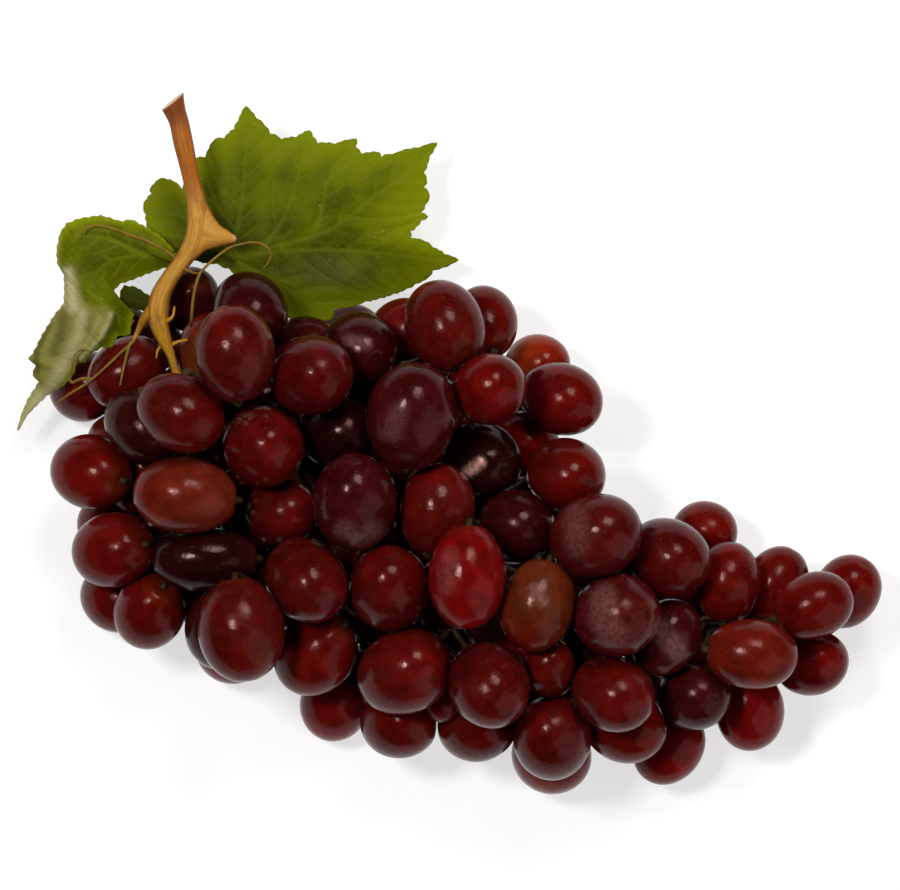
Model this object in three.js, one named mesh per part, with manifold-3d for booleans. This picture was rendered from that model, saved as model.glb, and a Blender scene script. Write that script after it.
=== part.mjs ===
// A bunch of red table grapes lying on a table, with the end of its shoot, two leaves and tendrils.
// Millimetres, +Z up, the table is the plane z = 0 and the shoot points to +Y.
import * as THREE from 'three';
import { mergeVertices } from 'three/addons/utils/BufferGeometryUtils.js';
import Module from 'manifold-3d';

const wasm = await Module();
wasm.setup();

// Driving dimensions
const BERRY_PROPORTION = 1.24;      // length of a berry over its width
const FACET_GROWTH = 1.015;         // a faceted berry is a little larger, so that it holds a round one's volume
const FLAT_SPOT_DEPTH = 0.45;       // how far a resting berry is pressed flat by the table
const PRESSED = 0.8;                // how far berries of one spray are pressed into each other
const SPRAY_GAP = 0.4;              // room that the settling tries to leave between two sprays
const CLEARANCE = 0.32;             // gap between pieces that touch
const STALK_SIDES = 4;
const STALK_RADIUS = 1.3;           // little stalks inside the bunch
const BLADE_THICKNESS = 0.9;        // leaf blades
const GUARD_SPREAD = 1.012;         // how much wider than a blade the room kept free for it is
const SEEN_EASE = 0.05;             // share of a sideways push that moves a berry whose place is seen
const HIDDEN_EASE = 0.5;            // the same share for a hidden berry
const SETTLE_ROUNDS = 160;
const SETTLE_SHARE = 0.35;
const HIDDEN_TRIES = 5000;
const HIDDEN_LIMIT = 52;
const HIDDEN_WIDTH = 17.5;
const HIDDEN_REACH = 26;            // seen from above, the seen berries this near to a hidden one
const HIDDEN_OFFSET = 6.5;          // have their middle at most this far from it, so it lies well inside
const HIDDEN_SHADE = 7;             // and one of them lies this near
const HIDDEN_CEILING = 30;
const HIDDEN_RAISED = 0.22;         // share of the draws that lie above the table
const HIDDEN_OVERLAP = 2.6;         // the settling pushes berries apart by up to this much
const SEED = 34;
const PLACE = [-0.4, 1.0];          // brings the middle of the bunch's box over the origin

// Berries that show from above: x, y, height, length seen, width seen, heading in degrees.
// A berry that looks as long as wide points up at the eye, because all berries have one proportion.
const SPRAYS = {
  berries_left_tip: [
    [-87.5, 14.5, 10, 18, 17, 30], [-78, 16, 22, 20.5, 16.5, 35], [-73.5, 6, 29, 20.5, 17, -40],
    [-64, 8, 40, 22, 18, -30], [-86, -6.5, 24, 20.5, 18, -15], [-80, 0.5, 12, 16, 15.5, 0],
  ],
  berries_left_side: [
    [-62.5, -12, 42, 25.5, 18.5, -5], [-82, -19, 10, 17, 15.5, 20], [-80.5, -25.5, 28, 20.5, 18, 10],
    [-58.5, -28, 32, 26, 15.5, 0], [-80.5, -37, 9, 18, 17, -20], [-70, -40, 25, 19, 17, 60],
  ],
  berries_left_foot: [
    [-58, -42.5, 27, 20, 17, 90], [-49.5, -43.5, 46, 25.5, 20.5, 97], [-53, -49.5, 9, 17.5, 17, 0],
    [-34.5, -32, 42, 21.5, 19, -50], [-32, -50, 31, 22, 18.5, 45], [-26.5, -62.5, 11, 18.5, 17, 80],
  ],
  berries_crown: [
    [-62.5, 34.5, 17, 16, 14.5, 60], [-48, 32, 36, 19.5, 18, -60], [-51, 21, 47, 23.5, 19, 95],
    [-59, 22.5, 28, 19.5, 15.5, 80], [-72.5, 24.5, 10, 16, 14.5, 0], [-45, -0.5, 43, 20, 19.5, 0],
  ],
  berries_upper_left: [
    [-33, 17, 42, 20.5, 19, 0], [-22, 23, 32, 18.5, 17.5, -30], [-35, 23.5, 22, 18, 15, 0],
    [-23.5, 26.5, 9, 17, 15.5, 0], [-27, 3, 35, 19, 17, 0], [-19.5, 12, 14, 18, 16.5, 0],
    [-40.5, -16.5, 35, 18, 16.5, 0], [-21.5, -14.5, 45, 23.5, 20, 90],
  ],
  berries_upper_right: [
    [-12.5, 27, 23, 18, 16, 20], [-1, 28, 40, 23, 19, -65], [8.5, 29.5, 25, 18, 15.5, -75],
    [21, 19.5, 15, 16, 14.5, 0], [9, 13.5, 45, 18, 17, 30], [26.5, 10, 31, 20.5, 17.5, -20],
    [-9, 18, 11, 17, 16, 0], [-9.5, 6, 49, 26, 21.5, 82],
  ],
  berries_heart: [
    [7.5, -4.5, 37, 19.5, 18, -30], [17.5, 0, 20, 18, 17, 0], [27.5, -6.5, 34, 19, 18, -20],
    [-3, -15, 41, 22.5, 18, 80], [15.5, -18.5, 37, 19, 18, 10], [4, -31, 54, 25.5, 18.5, 88],
  ],
  berries_lower_left: [
    [-15, -34, 43, 21, 19, 90], [-11, -53.5, 37, 23.5, 20.5, 25], [-12.5, -66, 15, 19, 18, 10],
    [9, -57, 43, 21, 19, -60], [5.5, -67, 21, 20, 18.5, 20],
  ],
  berries_right: [
    [34, -21.5, 43, 22.5, 20, 20], [21, -38, 46, 23, 17.5, 75], [39.5, -40.5, 47, 21, 20, 0],
    [52, -27, 35, 21, 19, -20], [61.5, -21, 13, 16, 15, 0], [52, -46.5, 33, 19.5, 16, 60],
  ],
  berries_lower_right: [
    [24, -53.5, 38, 14.5, 13, 90], [24.5, -70, 31, 20.5, 19, 90], [24.5, -75, 11, 19.5, 19, 0],
    [38.5, -59, 41, 20.5, 18, -30], [42, -67.5, 24, 20.5, 18, -15], [53, -73, 10.5, 19.5, 16, 50],
    [58.5, -59.5, 30, 18, 17, 0],
  ],
  berries_tail: [
    [66.5, -33, 31, 20, 16, 85], [72, -50, 37, 22.5, 17, -5], [72.5, -64, 16, 20, 16.5, 90],
    [78, -34, 20, 20, 15.5, 60], [87, -38.5, 31, 20, 16, 20], [96, -35.5, 14, 18.5, 16, 60],
    [87, -52.5, 16, 18, 16, 15], [63.5, -47.5, 18, 17, 14.5, 60], [60.5, -37, 12, 17, 15.5, 0],
  ],
};

// Main stem: x, y, z, radius, from the slanting cut down to the last spray
const STEM_ROUTE = [
  [-66, 82.5, 37, 2.5], [-64.6, 75.6, 37, 2.1], [-63.6, 68.4, 36.5, 2.0], [-61.9, 61.2, 35.5, 2.3],
  [-60.6, 55, 34.5, 3.0], [-60.6, 50, 34, 3.4], [-63.4, 45, 33.5, 2.8], [-67, 39, 33, 2.7],
  [-69.4, 33.5, 33, 2.8], [-69.6, 28, 33, 2.4], [-68, 23.5, 32, 1.9], [-65, 16, 29, 2.0],
  [-57, 6, 27, 2.0], [-40, -6, 25, 1.9], [-15, -18, 25, 1.8], [12, -30, 25, 1.6], [38, -38, 24, 1.4],
  [62, -44, 26, 1.1],
];
const STEM_INSIDE = 11;             // from this point on the stem runs inside the bunch
const STEM_SIDES = 8;
const STEM_STEPS = 32;
const STUB_STEPS = 4;
const BUMP_SIDES = 6;
const BUMP_STEPS = 3;
const STUB_ROUTE = [[-60.8, 52, 34.3, 2.9], [-57, 50.6, 34.2, 2.5], [-53.6, 49.6, 34, 2.1], [-51.6, 49.2, 34, 1.8]];
const BUMP_ROUTE = [[-69.5, 30, 32.5, 2.2], [-72.5, 28, 29.5, 1.5], [-75.6, 23.6, 26.6, 0.9]];

// Tendrils and the dry twig that lies over the left berries
const TENDRIL_RADIUS = 0.5;
const TENDRIL_SIDES = 5;
const TENDRILS = {
  over_left_leaf: [
    [-66.5, 43.5, 34], [-70, 46.5, 35], [-76, 50, 35], [-80, 52, 34.6], [-85, 53.4, 34.2], [-88.6, 52.4, 34],
    [-88.4, 50, 34],
  ],
  over_large_leaf: [
    [-68.5, 28.5, 34], [-63.5, 27, 37], [-61.2, 33, 37], [-60.4, 39, 37], [-56.6, 43.6, 36], [-52.4, 47, 35.4],
    [-48, 48.2, 34], [-44.4, 45.6, 32.4], [-44.8, 41.8, 31.6],
  ],
  over_left_berries: [
    [-75, 24.2, 27.2], [-79, 20.5, 28.4], [-83.5, 16.5, 27.6], [-89, 13.5, 25], [-94.6, 10.2, 19.6],
  ],
  left_loop: [
    [-83.4, 16.6, 27.6], [-88, 16.4, 26.6], [-91.2, 15.4, 25.6], [-91, 18.4, 26.4], [-90.2, 21.4, 27],
  ],
  left_twig: [[-75.4, 24, 26.8], [-78, 18.6, 28.4], [-79.6, 14.4, 28]],
};

// Large leaf: petiole point and outline, tooth by tooth, anticlockwise as seen from above
const LEAF_HEART = [-52.3, 45];
const LARGE_OUTLINE = [
  [-53.2, 42.4], [-49, 39], [-44.6, 34.4], [-38, 30.2], [-33, 29.8], [-28.4, 30.4], [-28, 33], [-24.6, 33.2],
  [-20.4, 34.6], [-17, 35.4], [-13.8, 36.4], [-10.6, 37.6], [-8.4, 38.8], [-5.2, 40.4], [-4.2, 42], [2.2, 44.6],
  [-1.2, 46], [-4, 47.6], [-6.2, 49.2], [-9.4, 49.8], [-9.6, 51.4], [-8.2, 52.4], [-7, 54], [-5.2, 55],
  [-6.9, 56], [-6, 57.6], [-4.8, 60.2], [-6.2, 62.2], [-5.5, 63.6], [-6.2, 65.6], [-4.8, 69.6], [-2.9, 73],
  [-7.2, 71.8], [-13.6, 70.2], [-16.6, 69.4], [-17, 70.6], [-21.2, 70.2], [-22.6, 71.8], [-22.4, 73.9],
  [-27.6, 72.6], [-31.8, 72.8], [-32.8, 74.2], [-33.8, 75.9], [-36.9, 74.2], [-40.4, 73.7], [-43.2, 75.1],
  [-44.2, 76.8], [-46.4, 78.8], [-49, 81.8], [-50.8, 78.2], [-51.8, 76.2], [-54.2, 74], [-56.6, 73.7],
  [-58.8, 69.4], [-61, 69.2], [-62.4, 65.4], [-64.4, 61.8], [-66.2, 63.6], [-69.6, 64.5], [-72.2, 61.9],
  [-71.8, 60.8], [-73.8, 58.2], [-73.2, 55.6], [-73.1, 54.2], [-72, 50.2], [-68, 46.4], [-61, 44.4], [-56, 43.6],
];
const LARGE_STALK = [[-52, 44.8, 26.2, 0.9], [-54, 46.6, 28.4, 1.1], [-57.4, 49.4, 31.8, 1.4]];
const LARGE_RINGS = [0, 0.3, 0.65, 1];
const LEAF_STALK_SIDES = 6;
const LEAF_STALK_STEPS = 3;
const LARGE_HEART_HEIGHT = 26.5;
const LARGE_DROOP = 15;             // how much lower the far tips lie
const LARGE_SPAN = 58;
const LARGE_WAVE = 1.6;

// Left leaf: pairs of points on its outer and inner edge with their heights, from the stem to the tip
const LEFT_PAIRS = [
  [[-66.2, 46.6, 30], [-66.9, 43.2, 30]], [[-69.4, 50, 30], [-69.8, 42.2, 30]],
  [[-73.7, 52.6, 30], [-73.2, 41, 30]], [[-76.3, 54, 30], [-76.6, 39.6, 30]],
  [[-79.2, 53.6, 30.4], [-79.2, 38.8, 30]], [[-81.6, 54.4, 30.8], [-80.8, 37, 30]],
  [[-84, 55, 31], [-81.4, 35.6, 29.6]], [[-89, 54.2, 31], [-80, 33.5, 29]],
  [[-92, 53, 30.6], [-77.8, 33.1, 29.4]], [[-93.6, 50.6, 30], [-75.9, 31.6, 29.6]],
  [[-94.4, 46.8, 29.4], [-76.4, 29.6, 29.6]], [[-94.3, 43.5, 28.8], [-77, 26.4, 29.6]],
  [[-92.7, 40.8, 28.4], [-80, 26.2, 29]], [[-92.6, 36.7, 28], [-81.4, 23.4, 28.6]],
  [[-92.8, 33.8, 27.4], [-83.6, 23.5, 28]], [[-95, 31.2, 26.4], [-86, 22.3, 27.2]],
  [[-98.2, 26.2, 24.4], [-88, 19.9, 25.2]], [[-99.9, 22.8, 23], [-89.8, 19.8, 24.8]],
  [[-101.5, 20.6, 22], [-90.9, 16.8, 24]], [[-99.8, 19.2, 21.8], [-92.4, 15, 23.2]],
  [[-100.6, 16.8, 20.8], [-94.4, 13.6, 21.6]], [[-99.1, 15.1, 20.4], [-96.8, 12.4, 20]],
  [[-101.3, 11, 18], [-99.4, 9.6, 18.4]], [[-102.8, 7.8, 16], [-101.6, 7.4, 16.4]],
  [[-103.6, 4.4, 14], [-103.2, 4.3, 14.2]],
];
const LEFT_STALK = [[-72.5, 46.6, 31.2, 0.7], [-69.5, 45.6, 31.6, 1.0], [-65, 44.6, 32.8, 1.3]];
const LEFT_CROWN = 2.2;             // how far the blade bulges up between its edges
const LEFT_COLUMNS = 4;

const MATERIALS = {
  berry: new THREE.MeshStandardMaterial({ color: 0x5a0f12, roughness: 0.3, metalness: 0 }),
  stem: new THREE.MeshStandardMaterial({ color: 0xb07a2c, roughness: 0.7, metalness: 0 }),
  leaf: new THREE.MeshStandardMaterial({ color: 0x66730f, roughness: 0.55, metalness: 0 }),
};

// The same draws in every run: the remainder of a product with a prime
const PRIME = 2147483647;
const FACTOR = 16807;
let drawn = SEED;
function draw(low, high) {
  drawn = (drawn * FACTOR) % PRIME;
  return low + (high - low) * (drawn / PRIME);
}

// A berry has a centre, a unit axis, half a length and half a width. Its reach along a direction n is
// the square root of width^2 + (length^2 - width^2) (axis . n)^2.
function reach(berry, n) {
  const along = berry.axis.dot(n);
  return Math.sqrt(berry.wide ** 2 + (berry.long ** 2 - berry.wide ** 2) * along ** 2);
}

// Room between two berries across the plane that is square to the line through their centres
function room(first, second) {
  const line = second.centre.clone().sub(first.centre);
  const distance = line.length();
  line.divideScalar(distance);
  return { line, gap: distance - reach(first, line) - reach(second, line) };
}

function seenBerry(row, spray) {
  const [x, y, z, longSeen, wideSeen, heading] = row;
  const ratio = longSeen / wideSeen;
  const cosine = Math.min(1, Math.sqrt((ratio ** 2 - 1) / (BERRY_PROPORTION ** 2 - 1)));
  const sine = Math.sqrt(1 - cosine ** 2);
  const turn = (heading * Math.PI) / 180;
  return {
    centre: new THREE.Vector3(x, y, z),
    axis: new THREE.Vector3(Math.cos(turn) * cosine, Math.sin(turn) * cosine, sine),
    long: Math.max(longSeen, BERRY_PROPORTION * wideSeen) / 2,
    wide: wideSeen / 2,
    spray,
    ease: new THREE.Vector3(SEEN_EASE, SEEN_EASE, 1),
  };
}

// Distance from a point to the stem's line, less the stem's radius there
function stemRoom(point) {
  let least = Infinity;
  let away = new THREE.Vector3();
  for (let i = 1; i < STEM_ROUTE.length; i++) {
    const from = new THREE.Vector3(...STEM_ROUTE[i - 1]);
    const along = new THREE.Vector3(...STEM_ROUTE[i]).sub(from);
    const share = Math.min(1, Math.max(0, point.clone().sub(from).dot(along) / along.lengthSq()));
    const offset = point.clone().sub(from.addScaledVector(along, share));
    const radius = STEM_ROUTE[i - 1][3] + share * (STEM_ROUTE[i][3] - STEM_ROUTE[i - 1][3]);
    if (offset.length() - radius < least) {
      least = offset.length() - radius;
      away = offset.normalize();
    }
  }
  return { least, away };
}

// Berries that fill the bunch below those that show, dropped in by seeded draws where there is room
function hiddenBerries(seen) {
  const all = [...seen];
  const xs = seen.map((berry) => berry.centre.x);
  const ys = seen.map((berry) => berry.centre.y);
  for (let attempt = 0; attempt < HIDDEN_TRIES && all.length < seen.length + HIDDEN_LIMIT; attempt++) {
    const wide = (HIDDEN_WIDTH * draw(0.93, 1.07)) / 2;
    const turn = draw(-Math.PI, Math.PI);
    const lift = draw(-0.5, 0.5);
    const level = Math.sqrt(1 - lift ** 2);
    const berry = {
      axis: new THREE.Vector3(Math.cos(turn) * level, Math.sin(turn) * level, lift),
      long: wide * BERRY_PROPORTION,
      wide,
      ease: new THREE.Vector3(HIDDEN_EASE, HIDDEN_EASE, 1),
    };
    const x = draw(Math.min(...xs), Math.max(...xs));
    const y = draw(Math.min(...ys), Math.max(...ys));
    const onTable = reach(berry, new THREE.Vector3(0, 0, 1)) - FLAT_SPOT_DEPTH;
    const height = draw(0, 1) < HIDDEN_RAISED ? HIDDEN_CEILING : onTable;
    berry.centre = new THREE.Vector3(x, y, draw(onTable, height));
    const away = seen.map((other) => Math.hypot(other.centre.x - x, other.centre.y - y));
    const company = seen.filter((other, i) => away[i] < HIDDEN_REACH);
    const middleX = company.reduce((sum, other) => sum + other.centre.x, 0) / company.length;
    const middleY = company.reduce((sum, other) => sum + other.centre.y, 0) / company.length;
    const inside = Math.min(...away) < HIDDEN_SHADE && Math.hypot(middleX - x, middleY - y) < HIDDEN_OFFSET;
    const clear = all.every((other) => room(berry, other).gap > -HIDDEN_OVERLAP);
    if (inside && clear && stemRoom(berry.centre).least > wide - 1) all.push(berry);
  }
  return all.slice(seen.length);
}

// Berries push each other apart, off the table and off the stem, all at once in each round
function settle(berries) {
  const up = new THREE.Vector3(0, 0, 1);
  for (let round = 0; round < SETTLE_ROUNDS; round++) {
    const moves = berries.map(() => new THREE.Vector3());
    berries.forEach((first, i) => {
      berries.forEach((second, j) => {
        if (i === j) return;
        const { line, gap } = room(first, second);
        const wanted = first.spray === second.spray ? -PRESSED : SPRAY_GAP;
        if (gap < wanted) moves[i].addScaledVector(line, (gap - wanted) * SETTLE_SHARE);
      });
      const sunk = reach(first, up) - FLAT_SPOT_DEPTH - first.centre.z;
      if (sunk > 0) moves[i].z += sunk;
      const { least, away } = stemRoom(first.centre);
      const tight = reach(first, away) - least;
      if (tight > 0) moves[i].addScaledVector(away, tight * SETTLE_SHARE);
    });
    berries.forEach((berry, i) => berry.centre.add(moves[i].multiply(berry.ease)));
  }
}

function joinSpray(berry, seen) {
  let nearest = seen[0];
  seen.forEach((other) => {
    if (room(berry, other).gap < room(berry, nearest).gap) nearest = other;
  });
  berry.spray = nearest.spray;
}

// Solids
function solid(geometry) {
  const bare = geometry.clone();
  bare.deleteAttribute('normal');
  bare.deleteAttribute('uv');
  const merged = mergeVertices(bare, 1e-3);
  const vertProperties = new Float32Array(merged.attributes.position.array);
  const triVerts = new Uint32Array(merged.index.array);
  return new wasm.Manifold(new wasm.Mesh({ numProp: 3, vertProperties, triVerts }));
}

function berrySolid(berry, growth) {
  const geometry = new THREE.IcosahedronGeometry(1, 1);
  const wide = berry.wide * FACET_GROWTH + growth;
  const long = berry.long * FACET_GROWTH + growth;
  const turn = new THREE.Quaternion().setFromUnitVectors(new THREE.Vector3(0, 0, 1), berry.axis);
  geometry.scale(wide, wide, long);
  geometry.applyQuaternion(turn);
  geometry.translate(berry.centre.x, berry.centre.y, berry.centre.z);
  return solid(geometry);
}

// A tube whose radius changes along a smooth line through the points
const THREAD = 0.05;
function tube(points, radii, sides, steps, growth = 0) {
  const knots = points.map((point) => new THREE.Vector3(point[0], point[1], point[2]));
  const path = new THREE.CatmullRomCurve3(knots, false, 'centripetal');
  const ring = [];
  for (let i = 0; i < sides; i++) {
    const angle = (2 * Math.PI * i) / sides;
    ring.push(new THREE.Vector2(THREAD * Math.cos(angle), THREAD * Math.sin(angle)));
  }
  const geometry = new THREE.ExtrudeGeometry(new THREE.Shape(ring), { steps, bevelEnabled: false, extrudePath: path });
  const stations = path.getSpacedPoints(steps);
  const travelled = [0];
  knots.slice(1).forEach((knot, i) => travelled.push(travelled[i] + knot.distanceTo(knots[i])));
  const radiusAt = (share) => {
    const distance = share * travelled[travelled.length - 1];
    let i = 1;
    while (i < travelled.length - 1 && travelled[i] < distance) i++;
    const part = Math.min(1, (distance - travelled[i - 1]) / (travelled[i] - travelled[i - 1]));
    return radii[i - 1] + part * (radii[i] - radii[i - 1]) + growth;
  };
  const position = geometry.attributes.position;
  const corner = new THREE.Vector3();
  for (let i = 0; i < position.count; i++) {
    corner.fromBufferAttribute(position, i);
    let near = 0;
    stations.forEach((station, k) => {
      if (corner.distanceTo(station) < corner.distanceTo(stations[near])) near = k;
    });
    corner.sub(stations[near]).multiplyScalar(radiusAt(near / steps) / THREAD).add(stations[near]);
    position.setXYZ(i, corner.x, corner.y, corner.z);
  }
  return solid(geometry);
}

function routeTube(route, sides, steps, growth = 0) {
  return tube(route, route.map((point) => point[3]), sides, steps, growth);
}

function stalk(from, to, growth = 0) {
  const line = to.clone().sub(from);
  const radius = STALK_RADIUS + growth;
  const geometry = new THREE.CylinderGeometry(radius, radius, line.length(), STALK_SIDES);
  const upright = new THREE.Vector3(0, 1, 0);
  geometry.applyQuaternion(new THREE.Quaternion().setFromUnitVectors(upright, line.clone().normalize()));
  geometry.translate(...from.clone().add(to).multiplyScalar(0.5).toArray());
  return solid(geometry);
}

// A closed blade: the same net of triangles above and below, joined round its edge.
// A row of the net may be a single point.
function blade(rows, thickness) {
  const count = rows[0].length;
  const corners = [];
  const offset = rows.length * count;
  [thickness / 2, -thickness / 2].forEach((lift) => {
    rows.forEach((row) => row.forEach(([x, y, z]) => corners.push(x, y, z + lift)));
  });
  const index = [];
  const same = (a, b) => [0, 1, 2].every((k) => Math.abs(corners[3 * a + k] - corners[3 * b + k]) < 1e-6);
  const face = (a, b, c) => {
    if (!same(a, b) && !same(b, c) && !same(c, a)) index.push(a, b, c);
  };
  for (let r = 0; r < rows.length - 1; r++) {
    for (let c = 0; c < count - 1; c++) {
      const a = r * count + c;
      const [b, d, e] = [a + 1, a + count, a + count + 1];
      face(a, d, e);
      face(a, e, b);
      face(a + offset, e + offset, d + offset);
      face(a + offset, b + offset, e + offset);
    }
  }
  const rim = [];
  for (let c = 0; c < count; c++) rim.push(c);
  for (let r = 1; r < rows.length; r++) rim.push(r * count + count - 1);
  for (let c = count - 2; c >= 0; c--) rim.push((rows.length - 1) * count + c);
  for (let r = rows.length - 2; r > 0; r--) rim.push(r * count);
  rim.forEach((a, i) => {
    const b = rim[(i + 1) % rim.length];
    if (same(a, b)) return;
    index.push(a, b, b + offset, a, b + offset, a + offset);
  });
  const geometry = new THREE.BufferGeometry();
  geometry.setAttribute('position', new THREE.Float32BufferAttribute(corners, 3));
  geometry.setIndex(index);
  return solid(geometry);
}

// The large leaf droops away from its petiole point and is waved along its edge
function largeLeafHeight(x, y) {
  const away = Math.hypot(x - LEAF_HEART[0], y - LEAF_HEART[1]) / LARGE_SPAN;
  const angle = Math.atan2(y - LEAF_HEART[1], x - LEAF_HEART[0]);
  return LARGE_HEART_HEIGHT - LARGE_DROOP * away ** 1.5 + LARGE_WAVE * away * Math.sin(5 * angle);
}

function largeLeafRows(spread = 1) {
  return LARGE_RINGS.map((part) => LARGE_OUTLINE.map(([edgeX, edgeY]) => {
    const ring = part * spread;
    const x = LEAF_HEART[0] + ring * (edgeX - LEAF_HEART[0]);
    const y = LEAF_HEART[1] + ring * (edgeY - LEAF_HEART[1]);
    return [x, y, largeLeafHeight(x, y)];
  }));
}

function leftLeafRows(spread = 1) {
  return LEFT_PAIRS.map(([outer, inner]) => {
    const row = [];
    for (let c = 0; c <= LEFT_COLUMNS; c++) {
      const share = 0.5 + (c / LEFT_COLUMNS - 0.5) * spread;
      const width = Math.hypot(outer[0] - inner[0], outer[1] - inner[1]);
      const crown = LEFT_CROWN * Math.min(1, width / 15) * 4 * share * (1 - share);
      row.push([0, 1, 2].map((k) => outer[k] + share * (inner[k] - outer[k]) + (k === 2 ? crown : 0)));
    }
    return row;
  });
}

function union(solids) {
  return solids.slice(1).reduce((whole, next) => whole.add(next), solids[0]);
}

function berryGuards(list) {
  return list.map((berry) => berrySolid(berry, CLEARANCE));
}

function cutClear(whole, obstacles) {
  return obstacles.reduce((rest, obstacle) => rest.subtract(obstacle), whole);
}

function largest(whole) {
  return whole.decompose().reduce((best, next) => (next.volume() > best.volume() ? next : best));
}

function mesh(name, made, material) {
  const { vertProperties, triVerts } = made.getMesh();
  const geometry = new THREE.BufferGeometry();
  geometry.setAttribute('position', new THREE.BufferAttribute(new Float32Array(vertProperties), 3));
  geometry.setIndex(new THREE.BufferAttribute(new Uint32Array(triVerts), 1));
  const piece = new THREE.Mesh(geometry, material);
  piece.name = name;
  return piece;
}

// Little stalks hold each spray together: the shortest tree from the main stem through all its berries
function sprayTree(berries) {
  const middle = berries.reduce((sum, berry) => sum.add(berry.centre), new THREE.Vector3()).divideScalar(berries.length);
  let root = null;
  for (let i = STEM_INSIDE; i < STEM_ROUTE.length; i++) {
    const point = new THREE.Vector3(...STEM_ROUTE[i]);
    if (!root || point.distanceTo(middle) < root.distanceTo(middle)) root = point;
  }
  const knots = [{ centre: root, axis: new THREE.Vector3(0, 0, 1), long: 0.5, wide: 0.5 }, ...berries];
  const links = [];
  const joined = new Set([0]);
  while (joined.size < knots.length) {
    let best = null;
    joined.forEach((i) => knots.forEach((knot, j) => {
      if (joined.has(j)) return;
      const { gap } = room(knots[i], knot);
      if (!best || gap < best.gap) best = { i, j, gap };
    }));
    joined.add(best.j);
    links.push([knots[best.i].centre, knots[best.j].centre]);
  }
  return links;
}

// The bunch
const seen = Object.entries(SPRAYS).flatMap(([spray, rows]) => rows.map((row) => seenBerry(row, spray)));
const hidden = hiddenBerries(seen);
hidden.forEach((berry) => joinSpray(berry, seen));
const berries = [...seen, ...hidden];
settle(berries);

function tendrilSolids(growth) {
  return Object.values(TENDRILS).map((points) => {
    return tube(points, points.map(() => TENDRIL_RADIUS), TENDRIL_SIDES, 2 * points.length, growth);
  });
}

function stemSolid(growth) {
  return union([
    routeTube(STEM_ROUTE, STEM_SIDES, STEM_STEPS, growth), routeTube(STUB_ROUTE, STEM_SIDES, STUB_STEPS, growth),
    routeTube(BUMP_ROUTE, BUMP_SIDES, BUMP_STEPS, growth), ...tendrilSolids(growth),
  ]);
}

const stemGuard = stemSolid(CLEARANCE);
const largeLeaf = blade(largeLeafRows(), BLADE_THICKNESS);
const leftLeaf = blade(leftLeafRows(), BLADE_THICKNESS);
const GUARD_THICKNESS = BLADE_THICKNESS + 2.4 * CLEARANCE;
const leafGuard = union([
  blade(largeLeafRows(GUARD_SPREAD), GUARD_THICKNESS), blade(leftLeafRows(GUARD_SPREAD), GUARD_THICKNESS),
]);
const table = solid(new THREE.BoxGeometry(400, 400, 20).translate(0, 0, -10));      // all below z = 0

const bunch = new THREE.Group();
bunch.name = 'bunch_of_grapes';
bunch.add(mesh('stem', stemSolid(0), MATERIALS.stem));
[['leaf_large', largeLeaf, LARGE_STALK], ['leaf_left', leftLeaf, LEFT_STALK]].forEach(([name, made, route]) => {
  const whole = made.add(routeTube(route, LEAF_STALK_SIDES, LEAF_STALK_STEPS));
  bunch.add(mesh(name, whole.subtract(stemGuard), MATERIALS.leaf));
});

// A spray's berries give way to the berries of the sprays before it, and its stalks to all other berries
const names = Object.keys(SPRAYS);
const earlierStalks = [];
names.forEach((name, k) => {
  const own = berries.filter((berry) => berry.spray === name);
  const earlier = berries.filter((berry) => names.indexOf(berry.spray) < k);
  const others = berries.filter((berry) => berry.spray !== name);
  const links = sprayTree(own);
  const fruit = cutClear(union(own.map((berry) => berrySolid(berry, 0))), berryGuards(earlier));
  const stalks = cutClear(union(links.map(([from, to]) => stalk(from, to))), [...berryGuards(others), ...earlierStalks]);
  const spray = cutClear(fruit.add(stalks), [table, stemGuard, leafGuard, ...earlierStalks]);
  links.forEach(([from, to]) => earlierStalks.push(stalk(from, to, CLEARANCE)));
  bunch.add(mesh(name, largest(spray), MATERIALS.berry));
});

bunch.position.set(PLACE[0], PLACE[1], 0);
export default bunch;
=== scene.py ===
"""A bunch of red table grapes with its woody stalk, two vine leaves and tendrils.

Lengths are worked out in millimetres in the bunch's own coordinates, and put_mesh brings them to the frame's
metres. The berries follow the same rule and the same draws as the solids, so each lies where its solid does.
"""
import math

import bpy
import numpy as np
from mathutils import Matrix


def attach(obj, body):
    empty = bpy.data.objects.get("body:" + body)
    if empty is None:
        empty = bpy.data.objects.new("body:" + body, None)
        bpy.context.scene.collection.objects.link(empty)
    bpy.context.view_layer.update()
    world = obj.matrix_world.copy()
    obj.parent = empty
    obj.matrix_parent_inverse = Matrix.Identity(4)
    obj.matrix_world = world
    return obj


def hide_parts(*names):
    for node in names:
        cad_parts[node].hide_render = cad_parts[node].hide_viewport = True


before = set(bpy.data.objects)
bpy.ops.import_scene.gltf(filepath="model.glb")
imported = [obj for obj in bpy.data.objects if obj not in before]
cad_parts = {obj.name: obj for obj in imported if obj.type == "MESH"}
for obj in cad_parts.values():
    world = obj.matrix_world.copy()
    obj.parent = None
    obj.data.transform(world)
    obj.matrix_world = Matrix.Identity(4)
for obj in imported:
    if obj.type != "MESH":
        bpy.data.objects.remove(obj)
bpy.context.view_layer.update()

bl_info = {
    "name": "Bunch of red table grapes",
    "version": (1, 0, 0),
    "blender": (4, 5, 0),
    "location": "View3D > Sidebar > Grapes",
    "description": "Builds a bunch of red grapes with its stalk, leaves and tendrils",
    "category": "Add Mesh",
}

MM = 0.001
PLACE = (-0.4, 1.0, 0.0)            # mm, brings the middle of the bunch's box over the origin

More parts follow.
